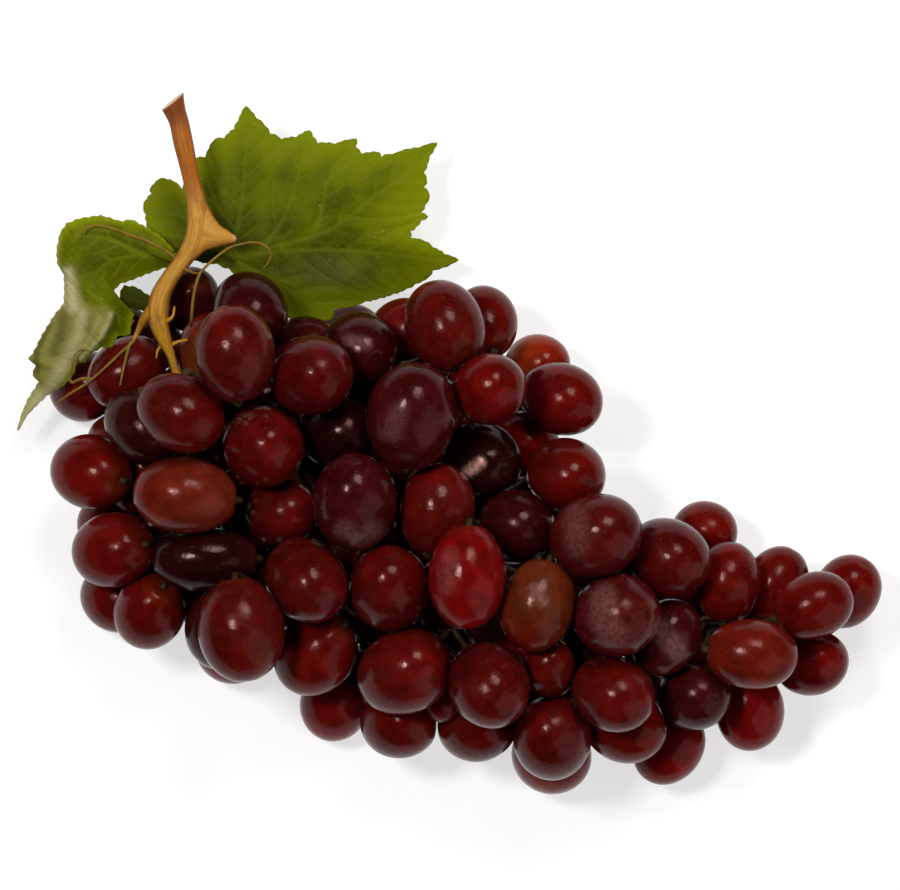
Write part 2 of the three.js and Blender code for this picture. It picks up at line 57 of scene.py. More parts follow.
# Berries that show from above, spray by spray: how ripe each is, then its x, y and height, its length and its
# width as seen, all in mm, and its heading in degrees
# Painted light: the low berries at the outer edge at (-80.5, -25.5), (-26.5, -62.5), (53, -73) and (72.5,
# -64) have brighter kinds than their ripeness alone, against the shade of the berries above them
SPRAYS = {
    "berries_left_tip": (
        "crimson ripe dark ripe crimson orange", [
            (-87.5, 14.5, 10, 18, 17, 30), (-78, 16, 22, 20.5, 16.5, 35), (-73.5, 6, 29, 20.5, 17, -40),
            (-64, 8, 40, 22, 18, -30), (-86, -6.5, 24, 20.5, 18, -15), (-80, 0.5, 12, 16, 15.5, 0),
        ]),
    "berries_left_side": (
        "tawny crimson crimson deep crimson crimson", [
            (-62.5, -12, 42, 25.5, 18.5, -5), (-82, -19, 10, 17, 15.5, 20), (-80.5, -25.5, 28, 20.5, 18, 10),
            (-58.5, -28, 32, 26, 15.5, 0), (-80.5, -37, 9, 18, 17, -20), (-70, -40, 25, 19, 17, 60),
        ]),
    "berries_left_foot": (
        "dark ripe crimson ripe crimson bright", [
            (-58, -42.5, 27, 20, 17, 90), (-49.5, -43.5, 46, 25.5, 20.5, 97), (-53, -49.5, 9, 17.5, 17, 0),
            (-34.5, -32, 42, 21.5, 19, -50), (-32, -50, 31, 22, 18.5, 45), (-26.5, -62.5, 11, 18.5, 17, 80),
        ]),
    "berries_crown": (
        "dark dark ripe amber dark ripe", [
            (-62.5, 34.5, 17, 16, 14.5, 60), (-48, 32, 36, 19.5, 18, -60), (-51, 21, 47, 23.5, 19, 95),
            (-59, 22.5, 28, 19.5, 15.5, 80), (-72.5, 24.5, 10, 16, 14.5, 0), (-45, -0.5, 43, 20, 19.5, 0),
        ]),
    "berries_upper_left": (
        "ripe dark dark crimson deep deep ripe plum", [
            (-33, 17, 42, 20.5, 19, 0), (-22, 23, 32, 18.5, 17.5, -30), (-35, 23.5, 22, 18, 15, 0),
            (-23.5, 26.5, 9, 17, 15.5, 0), (-27, 3, 35, 19, 17, 0), (-19.5, 12, 14, 18, 16.5, 0),
            (-40.5, -16.5, 35, 18, 16.5, 0), (-21.5, -14.5, 45, 23.5, 20, 90),
        ]),
    "berries_upper_right": (
        "crimson ripe crimson coral crimson crimson crimson plum", [
            (-12.5, 27, 23, 18, 16, 20), (-1, 28, 40, 23, 19, -65), (8.5, 29.5, 25, 18, 15.5, -75),
            (21, 19.5, 15, 16, 14.5, 0), (9, 13.5, 45, 18, 17, 30), (26.5, 10, 31, 20.5, 17.5, -20),
            (-9, 18, 11, 17, 16, 0), (-9.5, 6, 49, 26, 21.5, 82),
        ]),
    "berries_heart": (
        "deep bright ripe ripe dark scarlet", [
            (7.5, -4.5, 37, 19.5, 18, -30), (17.5, 0, 20, 18, 17, 0), (27.5, -6.5, 34, 19, 18, -20),
            (-3, -15, 41, 22.5, 18, 80), (15.5, -18.5, 37, 19, 18, 10), (4, -31, 54, 25.5, 18.5, 88),
        ]),
    "berries_lower_left": (
        "ripe ripe ripe ripe ripe", [
            (-15, -34, 43, 21, 19, 90), (-11, -53.5, 37, 23.5, 20.5, 25), (-12.5, -66, 15, 19, 18, 10),
            (9, -57, 43, 21, 19, -60), (5.5, -67, 21, 20, 18.5, 20),
        ]),
    "berries_right": (
        "rosy amber rosy ripe crimson plum", [
            (34, -21.5, 43, 22.5, 20, 20), (21, -38, 46, 23, 17.5, 75), (39.5, -40.5, 47, 21, 20, 0),
            (52, -27, 35, 21, 19, -20), (61.5, -21, 13, 16, 15, 0), (52, -46.5, 33, 19.5, 16, 60),
        ]),
    "berries_lower_right": (
        "ripe ripe crimson ripe ripe scarlet dark", [
            (24, -53.5, 38, 14.5, 13, 90), (24.5, -70, 31, 20.5, 19, 90), (24.5, -75, 11, 19.5, 19, 0),
            (38.5, -59, 41, 20.5, 18, -30), (42, -67.5, 24, 20.5, 18, -15), (53, -73, 10.5, 19.5, 16, 50),
            (58.5, -59.5, 30, 18, 17, 0),
        ]),
    "berries_tail": (
        "crimson orange scarlet crimson crimson crimson crimson bright ripe", [
            (66.5, -33, 31, 20, 16, 85), (72, -50, 37, 22.5, 17, -5), (72.5, -64, 16, 20, 16.5, 90),
            (78, -34, 20, 20, 15.5, 60), (87, -38.5, 31, 20, 16, 20), (96, -35.5, 14, 18.5, 16, 60),
            (87, -52.5, 16, 18, 16, 15), (63.5, -47.5, 18, 17, 14.5, 60), (60.5, -37, 12, 17, 15.5, 0),
        ]),
}
SPRAY_NAMES = list(SPRAYS)

# What ripeness gives the eye: a skin's colour, how thick its wax is, and its colour at the blossom end
RIPENESS = {
    "deep": ("#1c0403", 0.25, "#1c0403"),
    "dark": ("#2c0704", 0.4, "#300604"),
    "ripe": ("#450804", 0.45, "#4d0704"),
    "crimson": ("#550804", 0.35, "#5b0704"),
    "bright": ("#5d0704", 0.25, "#640503"),
    "scarlet": ("#620605", 0.3, "#620404"),
    "orange": ("#541006", 0.35, "#560b04"),
    "coral": ("#722408", 0.3, "#641206"),
    "tawny": ("#5b1a0c", 0.45, "#571006"),
    "amber": ("#521e09", 0.35, "#580d05"),
    "plum": ("#380807", 0.5, "#360706"),
    "rosy": ("#480b08", 0.7, "#480a06"),
}

# Places where the bloom is thick, in plan: a line, half its width in mm and how much of it there is
BLOOM = [
    ([(3.9, -6.7), (7.3, -4.2)], 1.25, 0.95), ([(0.2, -26), (-0.8, -33.5)], 2.0, 0.14),
    ([(-25.5, -20), (-21, -22), (-17.5, -20.5)], 2.4, 0.18), ([(29.5, -17), (30, -24)], 3.0, 0.15),
    ([(36.5, -36), (36, -42), (39, -45)], 3.2, 0.22), ([(-13.5, 3), (-12.5, 7.5)], 2.4, 0.16),
    ([(50, -44), (54, -49)], 2.6, 0.25), ([(-24, 25), (-20, 24)], 1.6, 0.25),
    ([(20, -34), (22, -37)], 1.5, 0.35),
]
HIDDEN_KINDS = ("ripe", "dark", "crimson", "ripe", "bright", "crimson")
# The late berries fill gaps deep in the bunch; their mostly dark kinds add painted shade there
LATE_KINDS = ("dark", "ripe", "deep")

# The rule that settles the berries, with the same values as the solids
SEEN_EASE = 0.05
HIDDEN_EASE = 0.5
SETTLE_ROUNDS = 160
SETTLE_SHARE = 0.35
HIDDEN_TRIES = 5000
HIDDEN_LIMIT = 52
HIDDEN_REACH = 26.0
HIDDEN_OFFSET = 6.5
HIDDEN_SHADE = 7.0
HIDDEN_CEILING = 30.0
HIDDEN_RAISED = 0.22
HIDDEN_OVERLAP = 2.6
HIDDEN_IN_STEM = 1.0                # mm that a hidden berry may overlap the stem before they settle
HIDDEN_WIDTHS = (0.93, 1.07)        # shares of the setting
HIDDEN_LIFT = 0.5                   # most that an axis rises or falls over its length

# Small late berries sit in the gaps that no other berry covers
LATE_TRIES = 9000
LATE_LIMIT = 90
LATE_HALVES = (7.5, 6.6, 5.7, 4.8, 4.0, 3.2)
LATE_OVERLAP = 2.3
LATE_REACH = 24.0
LATE_OFFSET = 8.5
LATE_MARGIN = 3.0
LATE_RIM = 1.0                      # mm outside its own edge that berries have to cover too
LATE_CEILING = 34.0
LATE_RISE = 1.5                     # mm, the steps in which it looks for the height with most room
LATE_LIFT = 0.6                     # most that an axis rises or falls over its length
LATE_COMPANY = 5                    # berries that have to be near
LATE_SHUT_IN = 0.8                  # share of the points round a gap that berries have to cover
# Twelve directions in plan
COMPASS = np.stack([np.cos(np.arange(12) * np.pi / 6), np.sin(np.arange(12) * np.pi / 6)], axis=1)
LATE_AXIS = (0.8, 0.0, 0.6)         # of those put in the gaps one by one
# x, y, z and half the width of small berries put in the gaps one by one
LATE_PLACED = [
    (-78.6, 28.8, 10, 5.0), (1.4, 5.5, 14, 4.8), (-34.3, -3.6, 13, 4.2), (-22.8, -53.2, 12, 4.0),
    (-31.8, -8.4, 12, 4.4), (-53.6, -5.5, 12, 4.4), (-55.4, -19.7, 11, 4.4), (-37, 6, 13, 4.2),
]

# Each draw is the remainder of the last one times the factor, when divided by the prime
PRIME = 2147483647
FACTOR = 16807
UP = np.array([0.0, 0.0, 1.0])

# Main stem: x, y, z, radius in mm, from the slanting cut down to the last spray
STEM_ROUTE = [
    (-66, 82.5, 37, 2.5), (-64.6, 75.6, 37, 2.1), (-63.6, 68.4, 36.5, 2.0), (-61.9, 61.2, 35.5, 2.3),
    (-60.6, 55, 34.5, 3.0), (-60.6, 50, 34, 3.4), (-63.4, 45, 33.5, 2.8), (-67, 39, 33, 2.7),
    (-69.4, 33.5, 33, 2.8), (-69.6, 28, 33, 2.4), (-68, 23.5, 32, 1.9), (-65, 16, 29, 2.0),
    (-57, 6, 27, 2.0), (-40, -6, 25, 1.9), (-15, -18, 25, 1.8), (12, -30, 25, 1.6), (38, -38, 24, 1.4),
    (62, -44, 26, 1.1),
]
STEM_INSIDE = 11                    # from this point on the stem runs inside the bunch
# The bark follows that line, a little to one side where the stem bends, with its swellings and waists
BARK_ROUTE = [
    (-66.3, 82.2, 37, 2.95), (-65.6, 79.6, 37, 2.45), (-64.8, 77.2, 37, 2.28), (-63.8, 72.4, 36.9, 2.28),
    (-62.7, 67.4, 36.4, 2.1), (-61.7, 62.8, 35.7, 2.05), (-61, 59.8, 35.2, 2.2), (-60.5, 56.4, 34.7, 2.5),
    (-60.3, 53, 34.3, 2.75), (-61, 49.4, 34, 2.7), (-63.2, 45.4, 33.5, 2.3), (-65.4, 42.4, 33.2, 2.1),
    (-67.5, 39.4, 33, 2.15), (-69.2, 36.2, 33, 2.4), (-69.9, 32.6, 33, 2.55), (-69.6, 28.6, 33, 2.2),
    (-68.3, 24.9, 32.4, 1.65), (-66.9, 21.4, 31.6, 1.05), (-65.8, 17.6, 30, 1.0), (-63, 12, 28, 1.5),
    (-57, 6, 27, 1.8), (-40, -6, 25, 1.8), (-15, -18, 25, 1.7), (12, -30, 25, 1.5), (38, -38, 24, 1.3),
    (62, -44, 26, 1.0),
]
# The stub of the fork: x and y of its upper edge and of its lower one, its middle's z and half its height
STUB_EDGES = [
    (-60.2, 63.6, -63.1, 43.9, 34.4, 1.7), (-59.5, 61.7, -61.9, 43.9, 34.4, 1.9),
    (-58.6, 59, -60.2, 45.1, 34.4, 2.1), (-57.6, 56.8, -58.6, 46.4, 34.4, 2.15),
    (-56.4, 54.5, -56.8, 47, 34.4, 2.05), (-55, 52.7, -54.8, 47.6, 34.3, 1.8),
    (-53.3, 51.5, -52.9, 48.05, 34.2, 1.4), (-51.6, 50.3, -51.6, 48.5, 34.1, 0.9),
]
STUB_TIP = (-50.9, 49.4, 34)
STUB_GRAIN = 2.4                    # mm, half the width over which the stub's fibres are spread
# How far along the bark's colours the side pieces start, in mm from the cut
STUB_START = 28.0
BUMP_START = 56.0
TWIG_START = 50.0
BUMP_ROUTE = [
    (-69.3, 34.4, 32.8, 2.0), (-71.3, 32, 32.2, 1.9), (-73.1, 30.4, 30.6, 1.3), (-74.8, 27.5, 28.4, 0.7),
    (-76.5, 24.2, 27.6, 0.45),
]
SIDE_TWIGS = [
    [(-68, 29.6, 33.6, 0.7), (-66.4, 30.8, 34.4, 0.42), (-66, 32.9, 34.6, 0.3)],
    [(-67.7, 23.6, 32, 0.6), (-65.3, 24.7, 32.6, 0.4), (-63.1, 25.2, 33, 0.28)],
    [(-68.6, 24.4, 32, 0.6), (-70.1, 22.6, 31.6, 0.36), (-70.4, 21, 31.2, 0.26)],
]
CUT_FACE = (-0.62, 0.76, 0.16)      # the slanting cut at the stem's end looks this way

# Tendrils and the dry twig that lies over the left berries, and how far each stays above what it lies on
TENDRILS = {
    "over_left_leaf": [
        (-65, 43.2, 34), (-66.5, 45.3, 34.6), (-72.1, 48.6, 34.6), (-76.4, 50.2, 34.8), (-81, 51.9, 34.6),
        (-83.8, 52.5, 34.4), (-85.9, 52.4, 34.2), (-87.5, 51.6, 34), (-87.9, 50.5, 33.8),
    ],
    "over_large_leaf": [
        (-62.1, 28.6, 31), (-61.9, 30.2, 35), (-61.3, 35.7, 36.5), (-60.6, 38.9, 36.6), (-59.7, 41.2, 36.4),
        (-58.3, 42.8, 36), (-55.5, 45.3, 35.6), (-52.8, 47.2, 35.2), (-50, 48.1, 34.6), (-47.3, 48.5, 34),
        (-45.1, 48.2, 33.4), (-43.4, 46.9, 32.8), (-43, 45.3, 32.2), (-43.8, 43.4, 31.6), (-44.6, 42.6, 31),
    ],
    "from_stem": [(-64.8, 42.8, 34), (-62.6, 41.7, 35.4), (-60.9, 41.1, 36), (-59.7, 41.2, 36.4)],
    "over_left_berries": [
        (-75.8, 25, 27.6), (-76.6, 24.1, 28.4), (-78.8, 22.2, 29), (-81, 20.1, 28.6), (-84.5, 16.9, 27.6),
        (-87.3, 14.8, 26), (-90.5, 13, 24), (-95, 10, 19.6),
    ],
    "left_loop": [
        (-86, 15.8, 27), (-88.6, 15.9, 26.6), (-90.9, 15.1, 26), (-91.5, 16.1, 26.4), (-91.1, 17.4, 27.4),
        (-90.6, 19.7, 28.4), (-89.9, 21.8, 29), (-88.7, 22.8, 29.4), (-87.5, 22.9, 29.4),
        (-86.6, 22.4, 29.2),
    ],
    "left_twig": [
        (-76, 24.8, 28), (-76.7, 24.1, 28.4), (-77.8, 20.1, 28.4), (-78.5, 16.9, 28), (-79, 14.4, 27),
    ],
}
TENDRIL_LIFT = 0.5                  # mm
TENDRIL_TAPER = 0.55                # radius at the tip over that at the root

# Large leaf: petiole point and outline, tooth by tooth, anticlockwise as seen from above
LEAF_HEART = (-52.3, 45.0)
LARGE_OUTLINE = [
    (-53.2, 42.4), (-49, 39), (-44.6, 34.4), (-38, 30.2), (-33, 29.8), (-28.4, 30.4), (-28, 33),
    (-24.6, 33.2), (-20.4, 34.6), (-17, 35.4), (-13.8, 36.4), (-10.6, 37.6), (-8.4, 38.8), (-5.2, 40.4),
    (-4.2, 42), (2.2, 44.6), (-1.2, 46), (-4, 47.6), (-6.2, 49.2), (-9.4, 49.8), (-9.6, 51.4),
    (-8.2, 52.4), (-7, 54), (-5.2, 55), (-6.9, 56), (-6, 57.6), (-4.8, 60.2), (-6.2, 62.2),
    (-5.5, 63.6), (-6.2, 65.6), (-4.8, 69.6), (-2.9, 73), (-7.2, 71.8), (-13.6, 70.2), (-16.6, 69.4),
    (-17, 70.6), (-21.2, 70.2), (-22.6, 71.8), (-22.4, 73.9), (-27.6, 72.6), (-31.8, 72.8),
    (-32.8, 74.2), (-33.8, 75.9), (-36.9, 74.2), (-40.4, 73.7), (-43.2, 75.1), (-44.2, 76.8),
    (-46.4, 78.8), (-49, 81.8), (-50.8, 78.2), (-51.8, 76.2), (-54.2, 74), (-56.6, 73.7),
    (-58.8, 69.4), (-61, 69.2), (-62.4, 65.4), (-64.4, 61.8), (-66.2, 63.6), (-69.6, 64.5),
    (-72.2, 61.9), (-71.8, 60.8), (-73.8, 58.2), (-73.2, 55.6), (-73.1, 54.2), (-72, 50.2),
    (-68, 46.4), (-61, 44.4), (-56, 43.6),
]
LARGE_STALK = [(-52, 44.8, 26.2, 0.9), (-54, 46.6, 28.4, 1.1), (-57.4, 49.4, 31.8, 1.4)]
LARGE_VEINS = [
    [(-52.3, 45), (-50.9, 54), (-49.7, 63.6), (-49, 80)],
    [(-52.3, 45), (-40, 48.4), (-28.8, 52.1), (-20, 58.6), (-11.3, 65.5), (-4, 71.6)],
    [(-52.3, 45), (-43.2, 46.6), (-25.2, 47), (0.6, 44.8)],
    [(-52.3, 45), (-60, 51), (-70.4, 59.8)],
    [(-52.3, 45), (-45, 40.8), (-37, 36.4), (-30, 31.6)],
    [(-45.6, 46.8), (-40.3, 54), (-37, 64), (-34.6, 74.4)],
    [(-33, 50.6), (-30.8, 57), (-29.2, 64), (-24, 72.4)],
]
LARGE_HEART_HEIGHT = 26.5
LARGE_DROOP = 15.0
LARGE_SPAN = 58.0
LARGE_WAVE = 1.6

# Left leaf: pairs of points on its outer and inner edge with their heights, from the stem to the tip
LEFT_PAIRS = [
    ((-66.2, 46.6, 30), (-66.9, 43.2, 30)), ((-69.4, 50, 30), (-69.8, 42.2, 30)),
    ((-73.7, 52.6, 30), (-73.2, 41, 30)), ((-76.3, 54, 30), (-76.6, 39.6, 30)),
    ((-79.2, 53.6, 30.4), (-79.2, 38.8, 30)), ((-81.6, 54.4, 30.8), (-80.8, 37, 30)),
    ((-84, 55, 31), (-81.4, 35.6, 29.6)), ((-89, 54.2, 31), (-80, 33.5, 29)),
    ((-92, 53, 30.6), (-77.8, 33.1, 29.4)), ((-93.6, 50.6, 30), (-75.9, 31.6, 29.6)),
    ((-94.4, 46.8, 29.4), (-76.4, 29.6, 29.6)), ((-94.3, 43.5, 28.8), (-77, 26.4, 29.6)),
    ((-92.7, 40.8, 28.4), (-80, 26.2, 29)), ((-92.6, 36.7, 28), (-81.4, 23.4, 28.6)),
    ((-92.8, 33.8, 27.4), (-83.6, 23.5, 28)), ((-95, 31.2, 26.4), (-86, 22.3, 27.2)),
    ((-98.2, 26.2, 24.4), (-88, 19.9, 25.2)), ((-99.9, 22.8, 23), (-89.8, 19.8, 24.8)),
    ((-101.5, 20.6, 22), (-90.9, 16.8, 24)), ((-99.8, 19.2, 21.8), (-92.4, 15, 23.2)),
    ((-100.6, 16.8, 20.8), (-94.4, 13.6, 21.6)), ((-99.1, 15.1, 20.4), (-96.8, 12.4, 20)),
    ((-101.9, 11, 18), (-99.8, 9.6, 18.4)), ((-103.5, 7.6, 16), (-102.2, 7.2, 16.4)),
    ((-104.8, 3.6, 14), (-104.3, 3.5, 14.2)),
]
LEFT_STALK = [(-72.5, 46.6, 31.2, 0.7), (-69.5, 45.6, 31.6, 1.0), (-65, 44.6, 32.8, 1.3)]
LEFT_VEINS = [
    [(-66.5, 45), (-75, 45.6), (-83, 43), (-86.6, 37), (-84.6, 31.4)],
    [(-84.2, 30.6), (-87.4, 24.4), (-92.4, 17.6), (-98.2, 11.8), (-103, 5)],
    [(-73, 45.4), (-82, 49.4), (-91.5, 50.4)],
    [(-86.6, 37), (-81.4, 32.6), (-77.4, 29.6)],
]
LEFT_CROWN = 2.2
# Where the left leaf shows its underside, in plan
UNDERSIDE = [
    (-96, 41.6), (-91.2, 41.4), (-89.2, 38.8), (-87.8, 34.6), (-85.6, 33.1), (-83.2, 33.2), (-81.2, 31.6),
    (-82.2, 28.5), (-84, 25.6), (-86.6, 22.8), (-89.5, 20), (-93, 15.5), (-98, 11), (-104, 2), (-108, 2),
    (-106, 22), (-98, 32),
]
# The line in plan along which the left leaf bends over most sharply
BEND = [(-81.2, 31.4), (-82.2, 28.6), (-83.9, 25.7), (-86.4, 22.9), (-88.9, 20.6)]
# Pale streaks on the left leaf where it bends, partly its felt and partly painted sheen, with half their
# width in mm and how pale they are
PALE_SHEEN_STREAKS = [
    ([(-94.6, 49.5), (-95, 46.5), (-94.7, 43), (-93.4, 40.8), (-92.7, 37), (-92.8, 34)], 0.8, 0.55),
    ([(-91.6, 41.4), (-91, 38), (-90.8, 35), (-90.4, 33)], 1.5, 0.8),
    (BEND, 0.55, 0.55),
    ([(-99, 11), (-102.5, 5), (-105.5, 0), (-107.5, -4)], 2.4, 0.9),
    ([(-88.4, 31.5), (-88.8, 27.5), (-91, 22.5), (-94.6, 16.8), (-99, 11), (-103, 5)], 1.5, 0.5),
]
# Darker patches of painted shade on the left leaf's underside: a line, half its width in mm and how dark it
# is
DARK_STREAKS = [
    ([(-92.6, 31), (-93.6, 26.5), (-95.4, 22.5)], 1.7, 0.45),
    ([(-96.2, 28.6), (-99.6, 22.4), (-99.4, 17.6)], 0.8, 0.5),
    ([(-86.4, 30.6), (-87, 27)], 1.0, 0.25),
]

# A curled lobe behind the stem's knot, made dark with painted shade from the stem
LOBE_PAIRS = [
    ((-69.6, 34.2, 30.6), (-69.9, 32.4, 30.6)), ((-72.5, 35.9, 30), (-73, 32.3, 29.6)),
    ((-75.3, 37.8, 29.4), (-75.7, 32.5, 28.8)), ((-78.2, 38.2, 29), (-78.5, 33.6, 28.4)),
    ((-79.2, 37, 28.6), (-79.3, 35, 28.4)),
]
LOBE_MIDRIB = [(-69.7, 33.3), (-79.2, 36)]
LOBE_CROWN = 1.4


def linear(colour):
    """The linear values of an sRGB hex colour."""
    shares = [int(colour[i:i + 2], 16) / 255 for i in (1, 3, 5)]
    return tuple(s / 12.92 if s <= 0.04045 else ((s + 0.055) / 1.055) ** 2.4 for s in shares)


def colour_property(name, description, colour):
    """A colour that the user may change, with an sRGB hex default."""
    return bpy.props.FloatVectorProperty(
        name=name, description=description, default=linear(colour), subtype="COLOR", size=3, min=0, max=1)


def length_property(name, description, millimetres):
    """A length that the user may change, with its default given in millimetres."""
    return bpy.props.FloatProperty(
        name=name, description=description, default=millimetres * MM, min=0, precision=5, unit="LENGTH")


def strength_property(name, description, strength, unit="NONE"):
    """The strength of a light that the user may change."""
    return bpy.props.FloatProperty(name=name, description=description, default=strength, min=0, unit=unit)


class BerrySettings(bpy.types.PropertyGroup):
    """Sizes and colours of the berries."""

    proportion: bpy.props.FloatProperty(
        name="Proportion", description="Length of a berry over its width", default=1.24, min=1.01, max=2)
    flat_spot: length_property("Flat spot", "How far a resting berry is pressed flat by the table", 0.45)
    pressed: length_property("Pressed", "How far berries of one spray are pressed into each other", 0.8)
    spray_gap: length_property("Spray gap", "Room that the settling leaves between two sprays", 0.4)
    hidden_width: length_property("Hidden width", "Width of the berries below those that show", 17.5)
    seed: bpy.props.IntProperty(
        name="Seed", description="Start of the draws for the hidden berries", default=34, min=1)
    wax: colour_property("Wax", "The thin wax that clouds a skin", "#693637")
    bloom: colour_property("Bloom", "Thick pale wax that nothing has rubbed off", "#a87a70")
    freckle: colour_property("Freckles", "Tiny corky dots in the skin", "#8a4a30")
    shoulder: colour_property("Shoulder", "Less ripe skin round the stem end", "#5e220c")
    scar: colour_property("Scar", "Dry spot where the flower was", "#2a170c")


class StemSettings(bpy.types.PropertyGroup):
    """Sizes and colours of the stalk, its branches and the tendrils."""

    tendril_radius: length_property("Tendril radius", "Half the thickness of a tendril at its root", 0.4)
    stalk_radius: length_property("Stalk radius", "Half the thickness of a berry's own stalk", 0.6)
    tip_bark: colour_property("Bark at the cut", "Red-brown bark next to the cut", "#7a3a10")
    upper_bark: colour_property("Upper bark", "Orange-tan bark above the fork", "#a65e14")
    fork_bark: colour_property("Fork bark", "Golden bark at the fork", "#bc8630")
    lower_bark: colour_property("Lower bark", "Ochre bark below the fork", "#b58024")
    # Painted shade: the red-brown that bark low on the stalk's sides is darkened to
    side_shade_bark: colour_property("Bark on the sides", "Red-brown bark low on the stalk's sides", "#84420c")
    pith: colour_property("Cut wood", "Pale pinkish wood of a cut face", "#d9a88c")
    tendril: colour_property("Tendril", "Golden tan of a dry tendril", "#80601a")
    stalk: colour_property("Side stalks", "Dull brown of the stalks inside the bunch", "#35240c")


class LeafSettings(bpy.types.PropertyGroup):
    """Sizes and colours of the leaves."""

    thickness: length_property("Thickness", "Thickness of a blade between its veins", 0.55)
    groove: length_property("Groove", "How deep the veins are sunk in the upper side", 0.22)
    pucker: length_property("Pucker", "How far the blade swells up between its veins", 0.4)
    shade: colour_property("Deep green", "Darker parts of the upper side", "#414600")
    light: colour_property("Olive green", "Lighter parts of the upper side", "#596000")
    tip: colour_property("Tips", "Yellow-green of the teeth and tips", "#707a02")
    vein: colour_property("Veins", "Veins of the upper side", "#6c7612")
    under: colour_property("Underside", "Pale matt grey-green of the underside", "#7e793c")
    felt: colour_property("Thin felt", "Olive patches of the underside where its felt is thin", "#6c6a2c")
    # Pale colour of the dust specks, of the felt where the left leaf bends, and of painted sheen on both
    # leaves
    pale: colour_property("Pale streaks", "Where the blade bends and its felt shows most", "#b8b082")
    under_vein: colour_property("Underside veins", "Pale raised veins of the underside", "#8e8c5c")


class StageSettings(bpy.types.PropertyGroup):
    """Camera, lights and floor."""

    view_width: length_property("View width", "Width of the picture at the camera's target", 216)
    target_height: length_property("Target height", "Height above the floor where that width is taken", 30)
    distance: length_property("Camera distance", "From the target up to the camera", 2000)
    key_power: strength_property("Key light", "Power of the small softbox", 13, "POWER")
    fill_power: strength_property("Fill light", "Power of the wide softbox", 12, "POWER")
    side_power: strength_property("Side light", "Power of the low softbox on the right", 10, "POWER")
    sky: strength_property("Room light", "Strength of the light from all round", 0.04)
    floor_glow: strength_property("Floor glow", "Light that the floor panel gives off itself", 0.63)
    floor: colour_property("Floor", "Plain pale floor", "#b4b4b2")


def exact(value, digits=6):
    """A setting without the rounding error of its 32-bit store."""
    return round(float(value), digits)


def millimetres(value):
    """A length setting in millimetres."""
    return exact(value / MM, 4)


def unit(vectors):
    """The vectors, each divided by its length."""
    return vectors / np.linalg.norm(vectors, axis=-1, keepdims=True)


def lengths_along(line):
    """How far along the line each of its points lies."""
    return np.concatenate([[0], np.cumsum(np.linalg.norm(np.diff(line, axis=0), axis=1))])


def steps(low, high, value):
    """0 below low, 1 above high, and the smooth 3 t^2 - 2 t^3 between."""
    share = np.clip((value - low) / (high - low), 0, 1)
    return share * share * (3 - 2 * share)


# Berries: the rule


class Draws:
    """The same draws in every run: the remainder of a product with a prime."""

    def __init__(self, seed):
        self.drawn = seed

    def __call__(self, low, high):
        self.drawn = (self.drawn * FACTOR) % PRIME
        return low + (high - low) * (self.drawn / PRIME)


def reach(long, wide, axis, towards):
    """How far a berry reaches from its middle: the root of wide^2 + (long^2 - wide^2) (axis . towards)^2."""
    return np.sqrt(wide ** 2 + (long ** 2 - wide ** 2) * np.sum(axis * towards, axis=-1) ** 2)


def gaps_to(berry, others):
    """Unit lines from one berry to the others, and the room left along them between both skins."""
    line = others["centre"] - berry["centre"]
    distance = np.linalg.norm(line, axis=-1)
    line = line / np.maximum(distance, 1e-9)[..., None]
    own = reach(berry["long"], berry["wide"], berry["axis"], line)
    other = reach(others["long"], others["wide"], others["axis"], line)
    return line, distance - own - other


def stem_room(points):
    """Least distance from each point to the stem's line less its radius there, and the way from the stem."""
    route = np.array(STEM_ROUTE, float)
    start, along = route[:-1, :3], np.diff(route[:, :3], axis=0)
    share = np.sum((points[:, None] - start) * along, axis=-1) / np.sum(along ** 2, axis=-1)
    share = np.clip(share, 0, 1)
    offset = points[:, None] - (start + share[..., None] * along)
    distance = np.linalg.norm(offset, axis=-1)
    room = distance - (route[:-1, 3] + share * np.diff(route[:, 3]))
    best = np.argmin(room, axis=1)
    row = np.arange(len(points))
    return room[row, best], offset[row, best] / distance[row, best][:, None]


def seen_berries(proportion):
    """Arrays of the berries that show. Seen length over seen width gives how far a berry tips up."""
    rows = np.array([row for _, spray in SPRAYS.values() for row in spray], float)
    x, y, z, long_seen, wide_seen, heading = rows.T
    cosine = np.minimum(1, np.sqrt(((long_seen / wide_seen) ** 2 - 1) / (proportion ** 2 - 1)))
    turn = np.radians(heading)
    return {
        "centre": np.stack([x, y, z], axis=1),
        "axis": np.stack([np.cos(turn) * cosine, np.sin(turn) * cosine, np.sqrt(1 - cosine ** 2)], axis=1),
        "long": np.maximum(long_seen, proportion * wide_seen) / 2,
        "wide": wide_seen / 2,
        "ease": np.tile([SEEN_EASE, SEEN_EASE, 1.0], (len(rows), 1)),
        "spray": np.array([k for k, (_, spray) in enumerate(SPRAYS.values()) for _ in spray]),
    }


def berry_at(centre, axis, wide, proportion, ease=1.0):
    """A berry with its middle at that point, with half its width and with how easily it moves sideways."""
    return {"centre": np.array(centre, float), "axis": np.array(axis, float), "long": wide * proportion,
            "wide": wide, "ease": np.array([ease, ease, 1.0])}


def drawn_axis(draw, most_lift):
    """A direction of any heading that rises or falls by most_lift at most."""
    turn = draw(-math.pi, math.pi)
    lift = draw(-most_lift, most_lift)
    level = math.sqrt(1 - lift ** 2)
    return np.array([math.cos(turn) * level, math.sin(turn) * level, lift])


